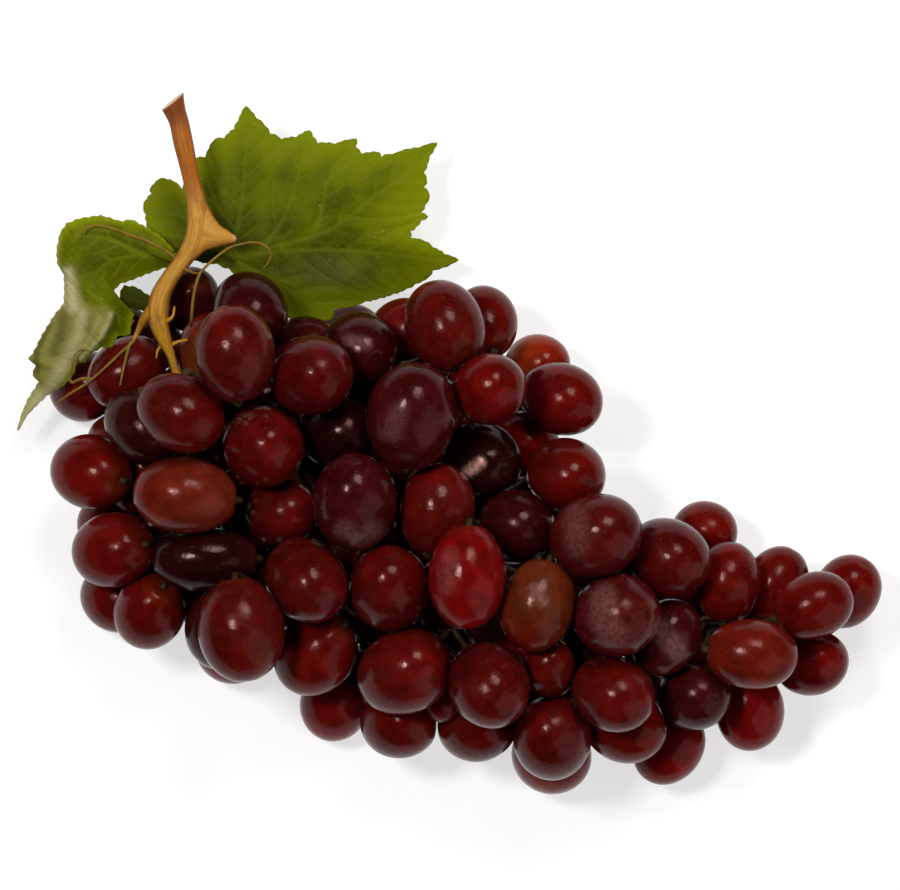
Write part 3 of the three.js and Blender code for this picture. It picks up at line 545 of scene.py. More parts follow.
def hidden_berry(draw, seen, settings):
    """One draw of a berry below those that show, and whether it lies well inside the bunch."""
    proportion, flat_spot = exact(settings.proportion), millimetres(settings.flat_spot)
    wide = millimetres(settings.hidden_width) * draw(*HIDDEN_WIDTHS) / 2
    axis = drawn_axis(draw, HIDDEN_LIFT)
    centres = seen["centre"]
    x = draw(centres[:, 0].min(), centres[:, 0].max())
    y = draw(centres[:, 1].min(), centres[:, 1].max())
    on_table = float(reach(wide * proportion, wide, axis, UP)) - flat_spot
    ceiling = HIDDEN_CEILING if draw(0, 1) < HIDDEN_RAISED else on_table
    z = draw(on_table, ceiling)
    away = np.hypot(centres[:, 0] - x, centres[:, 1] - y)
    company = centres[away < HIDDEN_REACH, :2]
    inside = away.min() < HIDDEN_SHADE and math.hypot(*(company.mean(axis=0) - (x, y))) < HIDDEN_OFFSET
    return berry_at((x, y, z), axis, wide, proportion, HIDDEN_EASE), inside


def with_berry(berries, berry, first):
    """The arrays with one berry more, in the spray of the nearest of the first berries."""
    berry = {**berry, "spray": first["spray"][np.argmin(gaps_to(berry, first)[1])]}
    return {key: np.concatenate([berries[key], np.asarray(berry[key])[None]]) for key in berries}


def all_berries(settings):
    """Seen berries, then the hidden ones that seeded draws drop in where there is room."""
    seen = seen_berries(exact(settings.proportion))
    draw = Draws(settings.seed)
    every, count = seen, len(seen["wide"])
    for _ in range(HIDDEN_TRIES):
        if len(every["wide"]) >= count + HIDDEN_LIMIT:
            break
        berry, inside = hidden_berry(draw, seen, settings)
        if not inside or np.any(gaps_to(berry, every)[1] <= -HIDDEN_OVERLAP):
            continue
        if stem_room(berry["centre"][None])[0][0] > berry["wide"] - HIDDEN_IN_STEM:
            every = with_berry(every, berry, seen)
    return every


def settle(berries, settings):
    """Berries push each other apart, off the table and off the stem, all at once in each round."""
    flat_spot = millimetres(settings.flat_spot)
    same = berries["spray"][:, None] == berries["spray"][None]
    wanted = np.where(same, -millimetres(settings.pressed), millimetres(settings.spray_gap))
    np.fill_diagonal(wanted, -np.inf)
    long, wide, axis = berries["long"], berries["wide"], berries["axis"]
    for _ in range(SETTLE_ROUNDS):
        centre = berries["centre"]
        line = centre[None] - centre[:, None]
        distance = np.linalg.norm(line, axis=-1)
        line = line / np.maximum(distance, 1e-9)[..., None]
        own = reach(long[:, None], wide[:, None], axis[:, None], line)
        other = reach(long[None], wide[None], axis[None], line)
        lack = np.minimum(0, distance - own - other - wanted)
        np.fill_diagonal(lack, 0)
        moves = np.sum(line * lack[..., None], axis=1) * SETTLE_SHARE
        moves[:, 2] += np.maximum(0, reach(long, wide, axis, UP) - flat_spot - centre[:, 2])
        least, away = stem_room(centre)
        tight = np.maximum(0, reach(long, wide, axis, away) - least)
        moves += away * (tight * SETTLE_SHARE)[:, None]
        berries["centre"] = centre + moves * berries["ease"]
    return berries


def berry_tops(berries, places):
    """Height of the highest skin over each place in plan, and -inf where there is none.

    A vertical line meets the skin where p . p / wide^2 + (1 / long^2 - 1 / wide^2) (axis . p)^2 = 1.
    That is a quadratic in the height of p over the berry's middle.
    """
    offset = places[:, None] - berries["centre"][None, :, :2]
    round_part = 1 / berries["wide"] ** 2
    long_part = 1 / berries["long"] ** 2 - round_part
    rise = berries["axis"][:, 2]
    level = np.sum(offset * berries["axis"][:, :2], axis=-1)
    a = round_part + long_part * rise ** 2
    b = long_part * rise * level
    c = round_part * np.sum(offset ** 2, axis=-1) + long_part * level ** 2 - 1
    root = b ** 2 - a * c
    top = berries["centre"][:, 2] + (np.sqrt(np.maximum(root, 0)) - b) / a
    return np.where(root > 0, top, -np.inf).max(axis=1)


def late_berry(place, half, axis, every, proportion):
    """A late berry of that half width at the height where it has most room, and that room."""
    best, most = None, -np.inf
    for height in np.arange(half, LATE_CEILING, LATE_RISE):
        berry = berry_at((*place, height), axis, half, proportion)
        room = gaps_to(berry, every)[1].min()
        if room > most:
            best, most = berry, room
    return best, most


def add_late_berries(berries, settings):
    """Seeded draws of places that nothing covers yet. Each takes the largest late berry that fits there."""
    draw = Draws(settings.seed + 1)
    first, every = berries, berries
    proportion = exact(settings.proportion)
    for x, y, z, half in LATE_PLACED:
        every = with_berry(every, berry_at((x, y, z), LATE_AXIS, half, proportion), first)
    middles = first["centre"][:, :2]
    low, high = middles.min(axis=0), middles.max(axis=0)
    for _ in range(LATE_TRIES):
        if len(every["wide"]) >= len(first["wide"]) + LATE_LIMIT:
            break
        place = np.array([draw(low[0], high[0]), draw(low[1], high[1])])
        axis = drawn_axis(draw, LATE_LIFT)
        company = middles[np.hypot(*(middles - place).T) < LATE_REACH]
        if len(company) < LATE_COMPANY or math.hypot(*(company.mean(axis=0) - place)) > LATE_OFFSET:
            continue
        if berry_tops(every, place[None])[0] > 0:
            continue
        around = place + COMPASS * (LATE_HALVES[-1] + LATE_MARGIN)
        if np.mean(berry_tops(first, around) > 0) < LATE_SHUT_IN:
            continue
        for half in LATE_HALVES:
            if np.mean(berry_tops(first, place + COMPASS * (half + LATE_RIM)) > 0) < LATE_SHUT_IN:
                continue
            berry, room = late_berry(place, half, axis, every, proportion)
            if room > -LATE_OVERLAP and stem_room(berry["centre"][None])[0][0] > half:
                every = with_berry(every, berry, first)
                break
    return every


BLOSSOM_UP = 0.5                    # how much upwards counts against away from the stem


def blossom_outward(berries):
    """Turns each axis so that its stem end is hidden: its blossom end points away from the stem, or up."""
    outward = stem_room(berries["centre"])[1]
    away = np.sum(berries["axis"] * outward, axis=1) + BLOSSOM_UP * berries["axis"][:, 2]
    berries["axis"] = berries["axis"] * np.where(away < 0, -1.0, 1.0)[:, None]
    return berries


def settled_bunch(settings):
    """All berries where they come to rest, with the late ones last."""
    return blossom_outward(add_late_berries(settle(all_berries(settings), settings), settings))


# Closed nets: a first pole, rings of points, a last pole


def net(first, rings, last, **values):
    """A closed skin of rings x columns points between two poles, in mm, with values for its points."""
    points = np.vstack([first, rings.reshape(-1, 3), last])
    return {"points": points, "rings": rings.shape[0], "columns": rings.shape[1], "values": values}


def net_values(rings, first=None, last=None):
    """Values of a net's rings in the order of its points. A pole takes the mean of the ring beside it."""
    flat = rings.reshape(rings.shape[0] * rings.shape[1], -1)
    start = rings[0].mean(axis=0) if first is None else first
    end = rings[-1].mean(axis=0) if last is None else last
    return np.vstack([np.reshape(start, (1, -1)), flat, np.reshape(end, (1, -1))])


def net_faces(made):
    """A fan round the first pole, quads between the rings and a fan round the last one, facing outwards."""
    rings, columns = made["rings"], made["columns"]
    here = np.arange(columns)
    after = (here + 1) % columns
    row = 1 + columns * np.arange(rings - 1)[:, None]
    quads = np.stack([row + here, row + after, row + columns + after, row + columns + here], axis=-1)
    quads = quads.reshape(-1, 4)
    end = len(made["points"]) - 1
    first = np.stack([np.zeros(columns, int), 1 + after, 1 + here], axis=-1)
    foot = 1 + columns * (rings - 1)
    last = np.stack([np.full(columns, end), foot + here, foot + after], axis=-1)
    points = made["points"] - made["points"].mean(axis=0)
    volume = 0.0
    for corners in (first, last, quads[:, [0, 1, 2]], quads[:, [0, 2, 3]]):
        a, b, c = (points[corners[:, k]] for k in range(3))
        volume += np.sum(a * np.cross(b, c))
    turned = slice(None, None, -1 if volume < 0 else 1)
    return [first[:, turned], quads[:, turned], last[:, turned]]


ATTRIBUTE_KINDS = {1: ("FLOAT", "value"), 3: ("FLOAT_VECTOR", "vector"), 4: ("FLOAT_COLOR", "color")}


def put_mesh(name, nets, material, replaced=()):
    """One object of closed nets, brought from mm to the frame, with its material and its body."""
    points, corners, sizes, start = [], [], [], 0
    for made in nets:
        for faces in net_faces(made):
            corners.append((faces + start).ravel())
            sizes.append(np.full(len(faces), faces.shape[1]))
        points.append(made["points"])
        start += len(made["points"])
    points = (np.vstack(points) + PLACE) * MM
    corners, sizes = np.concatenate(corners), np.concatenate(sizes)
    mesh = bpy.data.meshes.new(name)
    mesh.vertices.add(len(points))
    mesh.vertices.foreach_set("co", points.astype(np.float32).ravel())
    mesh.loops.add(len(corners))
    mesh.loops.foreach_set("vertex_index", corners.astype(np.int32))
    mesh.polygons.add(len(sizes))
    mesh.polygons.foreach_set("loop_start", (np.cumsum(sizes) - sizes).astype(np.int32))
    mesh.polygons.foreach_set("use_smooth", np.ones(len(sizes), bool))
    for key in nets[0]["values"]:
        values = np.vstack([made["values"][key] for made in nets]).astype(np.float32)
        kind, field = ATTRIBUTE_KINDS[values.shape[1]]
        mesh.attributes.new(key, kind, "POINT").data.foreach_set(field, values.ravel())
    mesh.update(calc_edges=True)
    if mesh.validate():
        raise RuntimeError(f"{name} has faces that Blender had to mend")
    mesh.materials.append(material)
    piece = bpy.data.objects.new(name, mesh)
    bpy.context.scene.collection.objects.link(piece)
    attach(piece, "root")
    if replaced:
        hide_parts(*replaced)
    return piece


def smooth_path(knots, count):
    """A centripetal Catmull-Rom line through the knots, at count stations equally far apart along it.

    Further columns of the knots, such as a radius, go along with the line.
    """
    knots = np.asarray(knots, float)
    ends = np.vstack([2 * knots[0] - knots[1], knots, 2 * knots[-1] - knots[-2]])
    places = ends[:, :min(3, ends.shape[1])]
    t = np.concatenate([[0], np.cumsum(np.sqrt(np.linalg.norm(np.diff(places, axis=0), axis=1)))])
    s = np.linspace(t[1], t[-2], 24 * len(knots))
    i = np.clip(np.searchsorted(t, s, side="right") - 1, 1, len(knots) - 1)
    t0, t1, t2, t3 = (t[i + k][:, None] for k in (-1, 0, 1, 2))
    p0, p1, p2, p3 = (ends[i + k] for k in (-1, 0, 1, 2))
    s = s[:, None]

    def blend(before, after, start, end):
        """Between the two points, by where s lies from start to end."""
        return ((end - s) * before + (s - start) * after) / (end - start)

    a1, a2, a3 = blend(p0, p1, t0, t1), blend(p1, p2, t1, t2), blend(p2, p3, t2, t3)
    line = blend(blend(a1, a2, t0, t2), blend(a2, a3, t1, t3), t1, t2)
    travelled = lengths_along(line[:, :places.shape[1]])
    at = np.linspace(0, travelled[-1], count)
    return np.stack([np.interp(at, travelled, line[:, k]) for k in range(line.shape[1])], axis=1)


CAP_ANGLES = np.radians([75, 50, 25])
CUT_LENGTH = 5.0                    # mm of the stem that lean with its slanting cut


def sweep(knots, count, columns, bulges=(1.0, 1.0), ridge=0.0, seed=1, cut=None):
    """A tube along a smooth line: at each station a circle of that station's radius, square to the line.

    Ridges make the radius r (1 + ridge * sum of three waves round the line whose phases drift along it).
    A cap's rings shrink as the cosine of an angle and move out as its sine times the bulge: 0 is a flat cut.
    cut is the way that a slanting cut at the start looks, and points near it are shifted to its plane.
    """
    path = smooth_path(knots, count)
    centre, radius = path[:, :3], path[:, 3]
    tangent = unit(np.gradient(centre, axis=0))
    side = np.empty_like(tangent)
    side[0] = unit(np.cross(tangent[0], UP + 0.01))
    for k in range(1, count):
        carried = side[k - 1] - tangent[k] * np.dot(side[k - 1], tangent[k])
        side[k] = carried / np.linalg.norm(carried)
    other = np.cross(tangent, side)
    lead = len(CAP_ANGLES)
    order = np.concatenate([np.zeros(lead, int), np.arange(count), np.full(lead, count - 1)])
    swell, shift = np.ones(len(order)), np.zeros(len(order))
    swell[:lead], shift[:lead] = np.cos(CAP_ANGLES), -np.sin(CAP_ANGLES) * bulges[0]
    swell[-lead:], shift[-lead:] = np.cos(CAP_ANGLES[::-1]), np.sin(CAP_ANGLES[::-1]) * bulges[1]
    angle = np.linspace(0, 2 * np.pi, columns, endpoint=False)
    travelled = lengths_along(centre)[order][:, None]
    phase = np.random.default_rng(seed).uniform(0, 2 * np.pi, 3)
    waves = sum(np.sin(n * angle + p + travelled / drift) * share
                for n, p, drift, share in zip((2, 5, 9), phase, (9.0, 14.0, 23.0), (0.6, 0.3, 0.25)))
    radial = (radius[order] * swell)[:, None] * (1 + ridge * waves)
    around = (np.cos(angle)[:, None] * side[order][:, None]
              + np.sin(angle)[:, None] * other[order][:, None])
    offset = around * radial[..., None]
    middle = centre[order] + tangent[order] * (shift * radius[order])[:, None]
    if cut is not None:
        outward = unit(np.array(cut))
        slope = -(offset @ outward) / np.dot(tangent[0], outward)
        weight = 1 - steps(0, CUT_LENGTH, travelled)
        offset = offset + tangent[0] * (slope * weight)[..., None]
    first = centre[0] - tangent[0] * radius[0] * bulges[0]
    last = centre[-1] + tangent[-1] * radius[-1] * bulges[1]
    face = np.zeros((len(order), columns))
    face[:lead] = 1 - bulges[0]
    face[-lead:] = 1 - bulges[1]
    along = np.broadcast_to(travelled, face.shape)
    width = radius[order][:, None]
    bark = np.stack([np.cos(angle) * width, np.sin(angle) * width, along], axis=-1)
    # How far each point faces up; the bark's material paints light and shade with it
    return net(first, middle[:, None] + offset, last, bark=net_values(bark), along=net_values(along),
               cut=net_values(face), sunny=net_values(around[..., 2]))


def stub_net(columns):
    """The fork's stub: at each station an ellipse between its upper edge point U and its lower one L.

    point = (U + L) / 2 + cos(a) (U - L) / 2 + sin(a) half its height straight up.
    """
    path = smooth_path(STUB_EDGES, 60)
    upper, lower = (np.column_stack([path[:, k:k + 2], path[:, 4]]) for k in (0, 2))
    angle = np.linspace(0, 2 * np.pi, columns, endpoint=False)[None, :, None]
    rings = ((upper + lower)[:, None] / 2 + np.cos(angle) * (upper - lower)[:, None] / 2
             + np.sin(angle) * path[:, None, 5:] * UP)
    shape = rings.shape[:2]
    middle = (upper + lower) / 2
    travelled = np.broadcast_to(lengths_along(middle)[:, None], shape)
    level, sunny = (np.broadcast_to(wave[..., 0], shape) for wave in (np.cos(angle), np.sin(angle)))
    bark = np.stack([level * STUB_GRAIN, sunny * STUB_GRAIN, travelled], axis=-1)
    face = np.zeros(shape)
    face[-2:] = 0.5
    # How far each point faces up; the bark's material paints light and shade with it
    return net(middle[0], rings, np.array(STUB_TIP), bark=net_values(bark),
               along=net_values(travelled + STUB_START), cut=net_values(face), sunny=net_values(sunny))


# Materials


def new_material(name):
    """A new material and its empty node tree."""
    material = bpy.data.materials.new(name)
    material.use_nodes = True
    tree = material.node_tree
    tree.nodes.clear()
    return material, tree


def add_node(tree, kind, inputs=None, **properties):
    """A node of that kind with its properties, and each input linked to a socket or set to a value."""
    made = tree.nodes.new(kind)
    for key, value in properties.items():
        setattr(made, key, value)
    for key, value in (inputs or {}).items():
        if isinstance(value, bpy.types.NodeSocket):
            tree.links.new(value, made.inputs[key])
        else:
            made.inputs[key].default_value = value
    return made


MIX_A, MIX_B, MIX_OUT = 6, 7, 2


def reading(tree, name, output="Fac"):
    """The values that a mesh has under that name at its points."""
    return add_node(tree, "ShaderNodeAttribute", attribute_name=name).outputs[output]


def noise(tree, place, scale, detail, **inputs):
    """Cloudy values round a half."""
    inputs = {"Vector": place, "Scale": scale, "Detail": detail, **inputs}
    return add_node(tree, "ShaderNodeTexNoise", inputs).outputs["Fac"]


def cells(tree, place, scale, feature="F1"):
    """How far a place is from the middle of its cell, or from the cell's edge."""
    inputs = {"Vector": place, "Scale": scale, "Randomness": 1.0}
    return add_node(tree, "ShaderNodeTexVoronoi", inputs, feature=feature).outputs["Distance"]


def remap(tree, value, low, high, start=0.0, end=1.0, kind="SMOOTHSTEP"):
    """From start, where the value is low, to end, where it is high, and no further."""
    inputs = {"Value": value, "From Min": low, "From Max": high, "To Min": start, "To Max": end}
    return add_node(tree, "ShaderNodeMapRange", inputs, interpolation_type=kind).outputs["Result"]


def mix(tree, share, first, second):
    """The first colour with that share of the second one. Each is a socket or a setting."""
    inputs = {0: share}
    for key, colour in ((MIX_A, first), (MIX_B, second)):
        inputs[key] = colour if isinstance(colour, bpy.types.NodeSocket) else (*colour, 1)
    return add_node(tree, "ShaderNodeMix", inputs, data_type="RGBA").outputs[MIX_OUT]


def scaled(tree, colour, factor):
    """The colour made lighter or darker."""
    inputs = {0: colour, "Scale": factor}
    return add_node(tree, "ShaderNodeVectorMath", inputs, operation="SCALE").outputs["Vector"]


def times(tree, value, factor, plus=0.0):
    """The value times the factor, and something more."""
    inputs = {0: value, 1: factor, 2: plus}
    return add_node(tree, "ShaderNodeMath", inputs, operation="MULTIPLY_ADD").outputs[0]


def stretched(tree, place, scale):
    """The place with its three coordinates scaled."""
    return add_node(tree, "ShaderNodeMapping", {"Vector": place, "Scale": scale}).outputs[0]


def bump(tree, height, strength, distance, **inputs):
    """Normals that follow the height."""
    inputs = {"Height": height, "Strength": strength, "Distance": distance, **inputs}
    return add_node(tree, "ShaderNodeBump", inputs).outputs[0]


def give_surface(tree, inputs):
    """Links a surface with those inputs to the material's output."""
    shader = add_node(tree, "ShaderNodeBsdfPrincipled", inputs)
    add_node(tree, "ShaderNodeOutputMaterial", {"Surface": shader.outputs[0]})


def skin_material(settings):
    """Grape skin: a thin glossy cuticle over clear juicy flesh, clouded by wax in patches.

    It gives the eye a sharp glint from the cuticle, a wide soft one from the wax, and a glow at thin edges.
    """
    material, tree = new_material("waxy_grape_skin")
    place = add_node(tree, "ShaderNodeTexCoord").outputs["Object"]
    wax, pole, bloom = (reading(tree, name) for name in ("wax", "pole", "bloom"))
    # Mottling about 5 mm across
    mottle = noise(tree, place, 190.0, 4.0, Roughness=0.6)
    colour = scaled(tree, reading(tree, "skin", "Color"), remap(tree, mottle, 0.3, 0.7, 0.62, 1.4, "LINEAR"))
    # Less ripe shoulder round the stem end
    colour = mix(tree, remap(tree, pole, -0.72, -1.0, 0.0, 0.4), colour, settings.shoulder)
    # Corky freckles, about 0.35 mm across and 2 mm apart
    dots = remap(tree, cells(tree, place, 520.0), 0.07, 0.17, 0.16, 0.0)
    colour = mix(tree, dots, colour, settings.freckle)
    # Wax in patches of 3 to 8 mm, rubbed thin in fine streaks
    patches = noise(tree, place, 150.0, 7.0, Roughness=0.68, Distortion=0.6)
    clouded = times(tree, remap(tree, patches, 0.45, 0.72, 0.0, 0.2), wax)
    colour = mix(tree, clouded, colour, settings.wax)
    # Thick bloom breaks up into flecks about 1 mm across
    flecks = noise(tree, place, 900.0, 3.0)
    frosted = times(tree, bloom, remap(tree, flecks, 0.38, 0.62, 0.45, 1.0, "LINEAR"))
    colour = mix(tree, frosted, colour, settings.bloom)
    # Dry scar at the blossom end
    colour = mix(tree, remap(tree, pole, 0.9955, 0.998, 0.0, 0.5), colour, settings.scar)
    # The wax is thicker here and thinner there, so the glints have ragged edges
    rough = times(tree, clouded, 0.7, times(tree, patches, 0.26, 0.06))
    # Gentle lumps about 1.5 mm across, and orange-peel relief about 0.4 mm across
    lumps = bump(tree, noise(tree, place, 620.0, 1.0), 0.12, 0.0006)
    relief = bump(tree, noise(tree, place, 1500.0, 3.0), 0.1, 0.0002, Normal=lumps)
    give_surface(tree, {
        "Base Color": colour, "Roughness": rough, "Normal": relief, "IOR": 1.24,
        "Specular Tint": (1.0, 0.62, 0.56, 1.0), "Subsurface Weight": 0.2,
        "Subsurface Radius": (1.0, 0.12, 0.06), "Subsurface Scale": 0.0025})
    return material


def bark_material(settings):
    """Shoot bark: smooth one-year wood, fibrous along its length and dry.

    It gives the eye long fine streaks, a red-brown tip that turns golden at the fork, and a pale pink cut.
    """
    material, tree = new_material("one_year_vine_bark")
    bark = reading(tree, "bark", "Vector")
    along, cut, sunny = (reading(tree, name) for name in ("along", "cut", "sunny"))
    # Fibres about 0.5 mm wide and 8 mm long, in the millimetres of the bark's own coordinates
    fibre = noise(tree, stretched(tree, bark, (1.9, 1.9, 0.13)), 1.0, 5.0, Roughness=0.62)
    blotch = noise(tree, bark, 0.22, 3.0)
    colour = settings.tip_bark
    for low, high, following in ((3.0, 9.0, settings.upper_bark), (17.0, 27.0, settings.fork_bark),
                                 (38.0, 50.0, settings.lower_bark)):
        colour = mix(tree, remap(tree, along, low, high), colour, following)
    colour = scaled(tree, colour, remap(tree, fibre, 0.3, 0.7, 0.62, 1.22, "LINEAR"))
    colour = mix(tree, remap(tree, blotch, 0.52, 0.7, 0.0, 0.4), colour, settings.tip_bark)
    # Painted light and shade: bark that faces up is lighter golden, and low on the sides it is darker
    # red-brown
    colour = mix(tree, remap(tree, sunny, 0.25, 0.97, 0.75, 0.0), colour, settings.side_shade_bark)
    colour = mix(tree, cut, colour, settings.pith)
    give_surface(tree, {
        "Base Color": colour, "Roughness": 0.5, "Normal": bump(tree, fibre, 0.55, 0.0003), "IOR": 1.45,
        "Specular IOR Level": 0.25})
    return material


def tendril_material(name, colour, roughness):
    """Dry tendril or green stalk: thin, round and slightly grooved, with lighter and darker stretches.

    It gives the eye a golden wire-like line with a soft glint along it.
    """
    material, tree = new_material(name)
    fibre = noise(tree, stretched(tree, reading(tree, "bark", "Vector"), (1.6, 1.6, 0.25)), 1.0, 4.0)
    toned = scaled(tree, tuple(colour), remap(tree, fibre, 0.3, 0.7, 0.6, 1.3, "LINEAR"))
    give_surface(tree, {
        "Base Color": toned, "Roughness": roughness, "Normal": bump(tree, fibre, 0.3, 0.0002), "IOR": 1.45,
        "Specular IOR Level": 0.2})
    return material


def leaf_material(settings):
    """Vine leaf: a thin waxed cuticle over green blade with sunken veins, and a felted pale underside.

    It gives the eye uneven olive green with soft bands of painted shade, faint veins, yellowish teeth,
    specks of dust and pale streaks, partly painted sheen.
    """
    material, tree = new_material("vine_leaf_blade")
    place = add_node(tree, "ShaderNodeTexCoord").outputs["Object"]
    names = ("vein", "edge", "under", "pale", "tone")
    vein, edge, under, pale, tone = (reading(tree, name) for name in names)
    # Clouds about 10 mm across
    cloud = remap(tree, noise(tree, place, 95.0, 4.0, Roughness=0.5), 0.36, 0.64)
    upper = mix(tree, cloud, settings.shade, settings.light)
    upper = mix(tree, remap(tree, edge, 0.6, 1.0, 0.0, 0.8), upper, settings.tip)
    # The finest veins close small fields about 1.4 mm across
    fields = cells(tree, place, 700.0, "DISTANCE_TO_EDGE")
    upper = mix(tree, remap(tree, fields, 0.02, 0.14, 0.1, 0.0), upper, settings.vein)
    veined = remap(tree, vein, 0.2, 1.0, 0.0, 0.4)
    upper = mix(tree, veined, upper, settings.vein)
    # Specks of dust, about 0.4 mm across and 4 mm apart
    specks = remap(tree, cells(tree, place, 240.0), 0.035, 0.07, 0.3, 0.0)
    upper = mix(tree, specks, upper, settings.pale)
    lower = mix(tree, veined, mix(tree, cloud, settings.under, settings.felt), settings.under_vein)
    # Painted light and shade: the leaf's colour is scaled lighter or darker point by point
    toned = scaled(tree, mix(tree, under, upper, lower), tone)
    # Pale colour where the pale values say: on the left leaf partly felt and partly painted sheen, on the
    # large leaf painted sheen
    give_surface(tree, {
        "Base Color": mix(tree, pale, toned, settings.pale),
        "Roughness": remap(tree, under, 0.0, 1.0, 0.5, 0.8, "LINEAR"),
        "Normal": bump(tree, remap(tree, fields, 0.0, 0.3), 0.16, 0.0003), "IOR": 1.42,
        "Specular IOR Level": 0.04})
    return material


# Berries: their shape

BERRY_RINGS = 36
BERRY_COLUMNS = 60
LATE_RINGS = 22
LATE_COLUMNS = 36
CONTACT = 1.2                       # mm, berries nearer than this flatten where they face each other
SOFTNESS = 0.22                     # mm, how softly a skin gives way
DIMPLE = 0.9                        # mm, how deep the stalk sits in the skin
PIT = 0.22                          # mm, how deep the flower's scar is
CLEARANCE = 0.06                    # mm that a pressed skin keeps from the middle plane
TINTS = (0.82, 1.2)                 # a berry's own colour over that of its ripeness
WAXES = (0.7, 1.3)                  # a berry's own wax over that of its ripeness


def give_way(excess):
    """Smooth positive part: softness times log(1 + exp(excess / softness))."""
    return SOFTNESS * np.logaddexp(0, excess / SOFTNESS)


def berry_frame(axis):
    """Two unit vectors square to the axis and to each other."""
    side = unit(np.cross(axis, UP if abs(axis[2]) < 0.9 else np.array([1.0, 0.0, 0.0])))
    return side, np.cross(axis, side)


def laid_along(points, lines, power):
    """The largest much * exp(-(distance / half)^power) over lines in plan, each with its half and much."""
    return np.max([much * np.exp(-(path_distance(points, line) / half) ** power)
                   for line, half, much in lines], axis=0)


def bloom_values(points):
    """How much thick bloom lies on each point: what the BLOOM lines say, on the upper berries alone."""
    return laid_along(points[:, :2], BLOOM, 4) * steps(34, 38, points[:, 2])


def berry_net(berries, k, kind, random, rings, columns):
    """A grape's skin.

    With u from the blossom end to the stem end and v round the axis, a point lies at long cos u along the
    axis and wide sin u from it, times 1 + 0.03 cos u, which is fuller at the blossom end, and times two
    gentle waves. A shallow pit marks the flower's scar and a dimple takes the stalk. Planes half way to the
    berries it touches, and the table, then press the skin flat.
    """
    long, wide = berries["long"][k], berries["wide"][k]
    u = np.linspace(0, np.pi, rings + 2)[1:-1, None]
    v = np.linspace(0, 2 * np.pi, columns, endpoint=False)[None]
    phase = random.uniform(0, 2 * np.pi, 3)
    waves = (1 + 0.011 * np.sin(2 * v + phase[0]) * np.sin(u)
             + 0.007 * np.sin(3 * v + phase[1]) * np.sin(2 * u))
    across = wide * np.sin(u) * (1 + 0.03 * np.cos(u)) * waves
    along = long * np.cos(u) + DIMPLE * np.exp(-((np.pi - u) / 0.26) ** 2) - PIT * np.exp(-(u / 0.13) ** 2)
    along = np.broadcast_to(along, across.shape)
    axis = berries["axis"][k]
    side, other = berry_frame(axis)
    local = (along[..., None] * axis + (across * np.cos(v))[..., None] * side
             + (across * np.sin(v))[..., None] * other)
    poles = np.array([axis * (long - PIT), -axis * (long - DIMPLE)])
    local = np.vstack([poles[0], local.reshape(-1, 3), poles[1]])
    line, room = gaps_to({key: berries[key][k] for key in berries}, berries)
    for j in np.flatnonzero((room < CONTACT) & (np.arange(len(room)) != k)):
        facing = reach(long, wide, axis, line[j]) + room[j] / 2 - CLEARANCE
        local = local - line[j] * give_way(local @ line[j] - facing)[:, None]
    points = local + berries["centre"][k]
    height = points[:, 2]
    points[:, 2] = np.maximum(0, height + give_way(-height) - 0.1 * np.exp(-np.abs(height)))
    shape = (rings, columns)
    rosy_end = steps(0.1, 0.95, np.cos(u))[..., None]
    own_colour, own_wax, end_colour = RIPENESS[kind]
    main, end = (np.array([*linear(colour), 1.0]) for colour in (own_colour, end_colour))
    tint = random.uniform(*TINTS)
    colour = (main + rosy_end * (end - main)) * [tint, tint, tint, 1.0]
    wax = own_wax * random.uniform(*WAXES)
    return net(points[0], points[1:-1].reshape(*shape, 3), points[-1],
               skin=net_values(np.broadcast_to(colour, (*shape, 4))),
               wax=net_values(np.full(shape, wax)), bloom=bloom_values(points)[:, None],
               pole=net_values(np.broadcast_to(np.cos(u), shape), 1.0, -1.0))


def berry_kinds(berries, settings):
    """Each berry's ripeness: as seen for those that show, and in turn for the hidden and the late ones."""
    seen = " ".join(kinds for kinds, _ in SPRAYS.values()).split()
    settled = len(all_berries(settings)["wide"])
    hidden = [HIDDEN_KINDS[k % len(HIDDEN_KINDS)] for k in range(settled - len(seen))]
    late = [LATE_KINDS[k % len(LATE_KINDS)] for k in range(len(berries["wide"]) - settled)]
    return seen + hidden, late


# Leaves


def inside(points, outline):
    """True for points in the outline: a line from there to +X crosses its edges an odd number of times."""
    x, y = points[:, None, 0], points[:, None, 1]
    ahead = np.roll(outline, -1, axis=0)
    rise = ahead[:, 1] - outline[:, 1]
    divisor = np.where(rise == 0, 1, rise)
    crossed = outline[:, 0] + (ahead[:, 0] - outline[:, 0]) * (y - outline[:, 1]) / divisor
    spans = (outline[:, 1] > y) != (ahead[:, 1] > y)
    return np.sum(spans & (x < crossed), axis=1) % 2 == 1


VEIN_SPACING = 5.2                  # mm between side veins on one side of a vein
VEIN_ANGLE = math.radians(50)
VEIN_BEND = math.radians(2.6)       # a side vein bends this much towards the tip at each step
VEIN_STEP = 1.6                     # mm
VEIN_STEPS = 14
# Half the width of a vein at its root and at its tip, in mm
MAIN_VEIN = (0.95, 0.3)
SIDE_VEIN = (0.5, 0.18)
MIDRIB = (0.5, 0.2)


def side_vein(start, heading, side, own, others, outline):
    """A side vein in short steps, up to the leaf's edge or to where another main vein is nearer."""
    line = [start]
    for step in range(VEIN_STEPS):
        heading -= side * VEIN_BEND
        point = line[-1] + VEIN_STEP * np.array([math.cos(heading), math.sin(heading)])
        if not inside(point[None], outline)[0]:
            break
        near_own = np.linalg.norm(own - point, axis=1).min()
        if step > 1 and len(others) and np.linalg.norm(others - point, axis=1).min() < 0.9 * near_own:
            break
        line.append(point)
    return np.array(line)


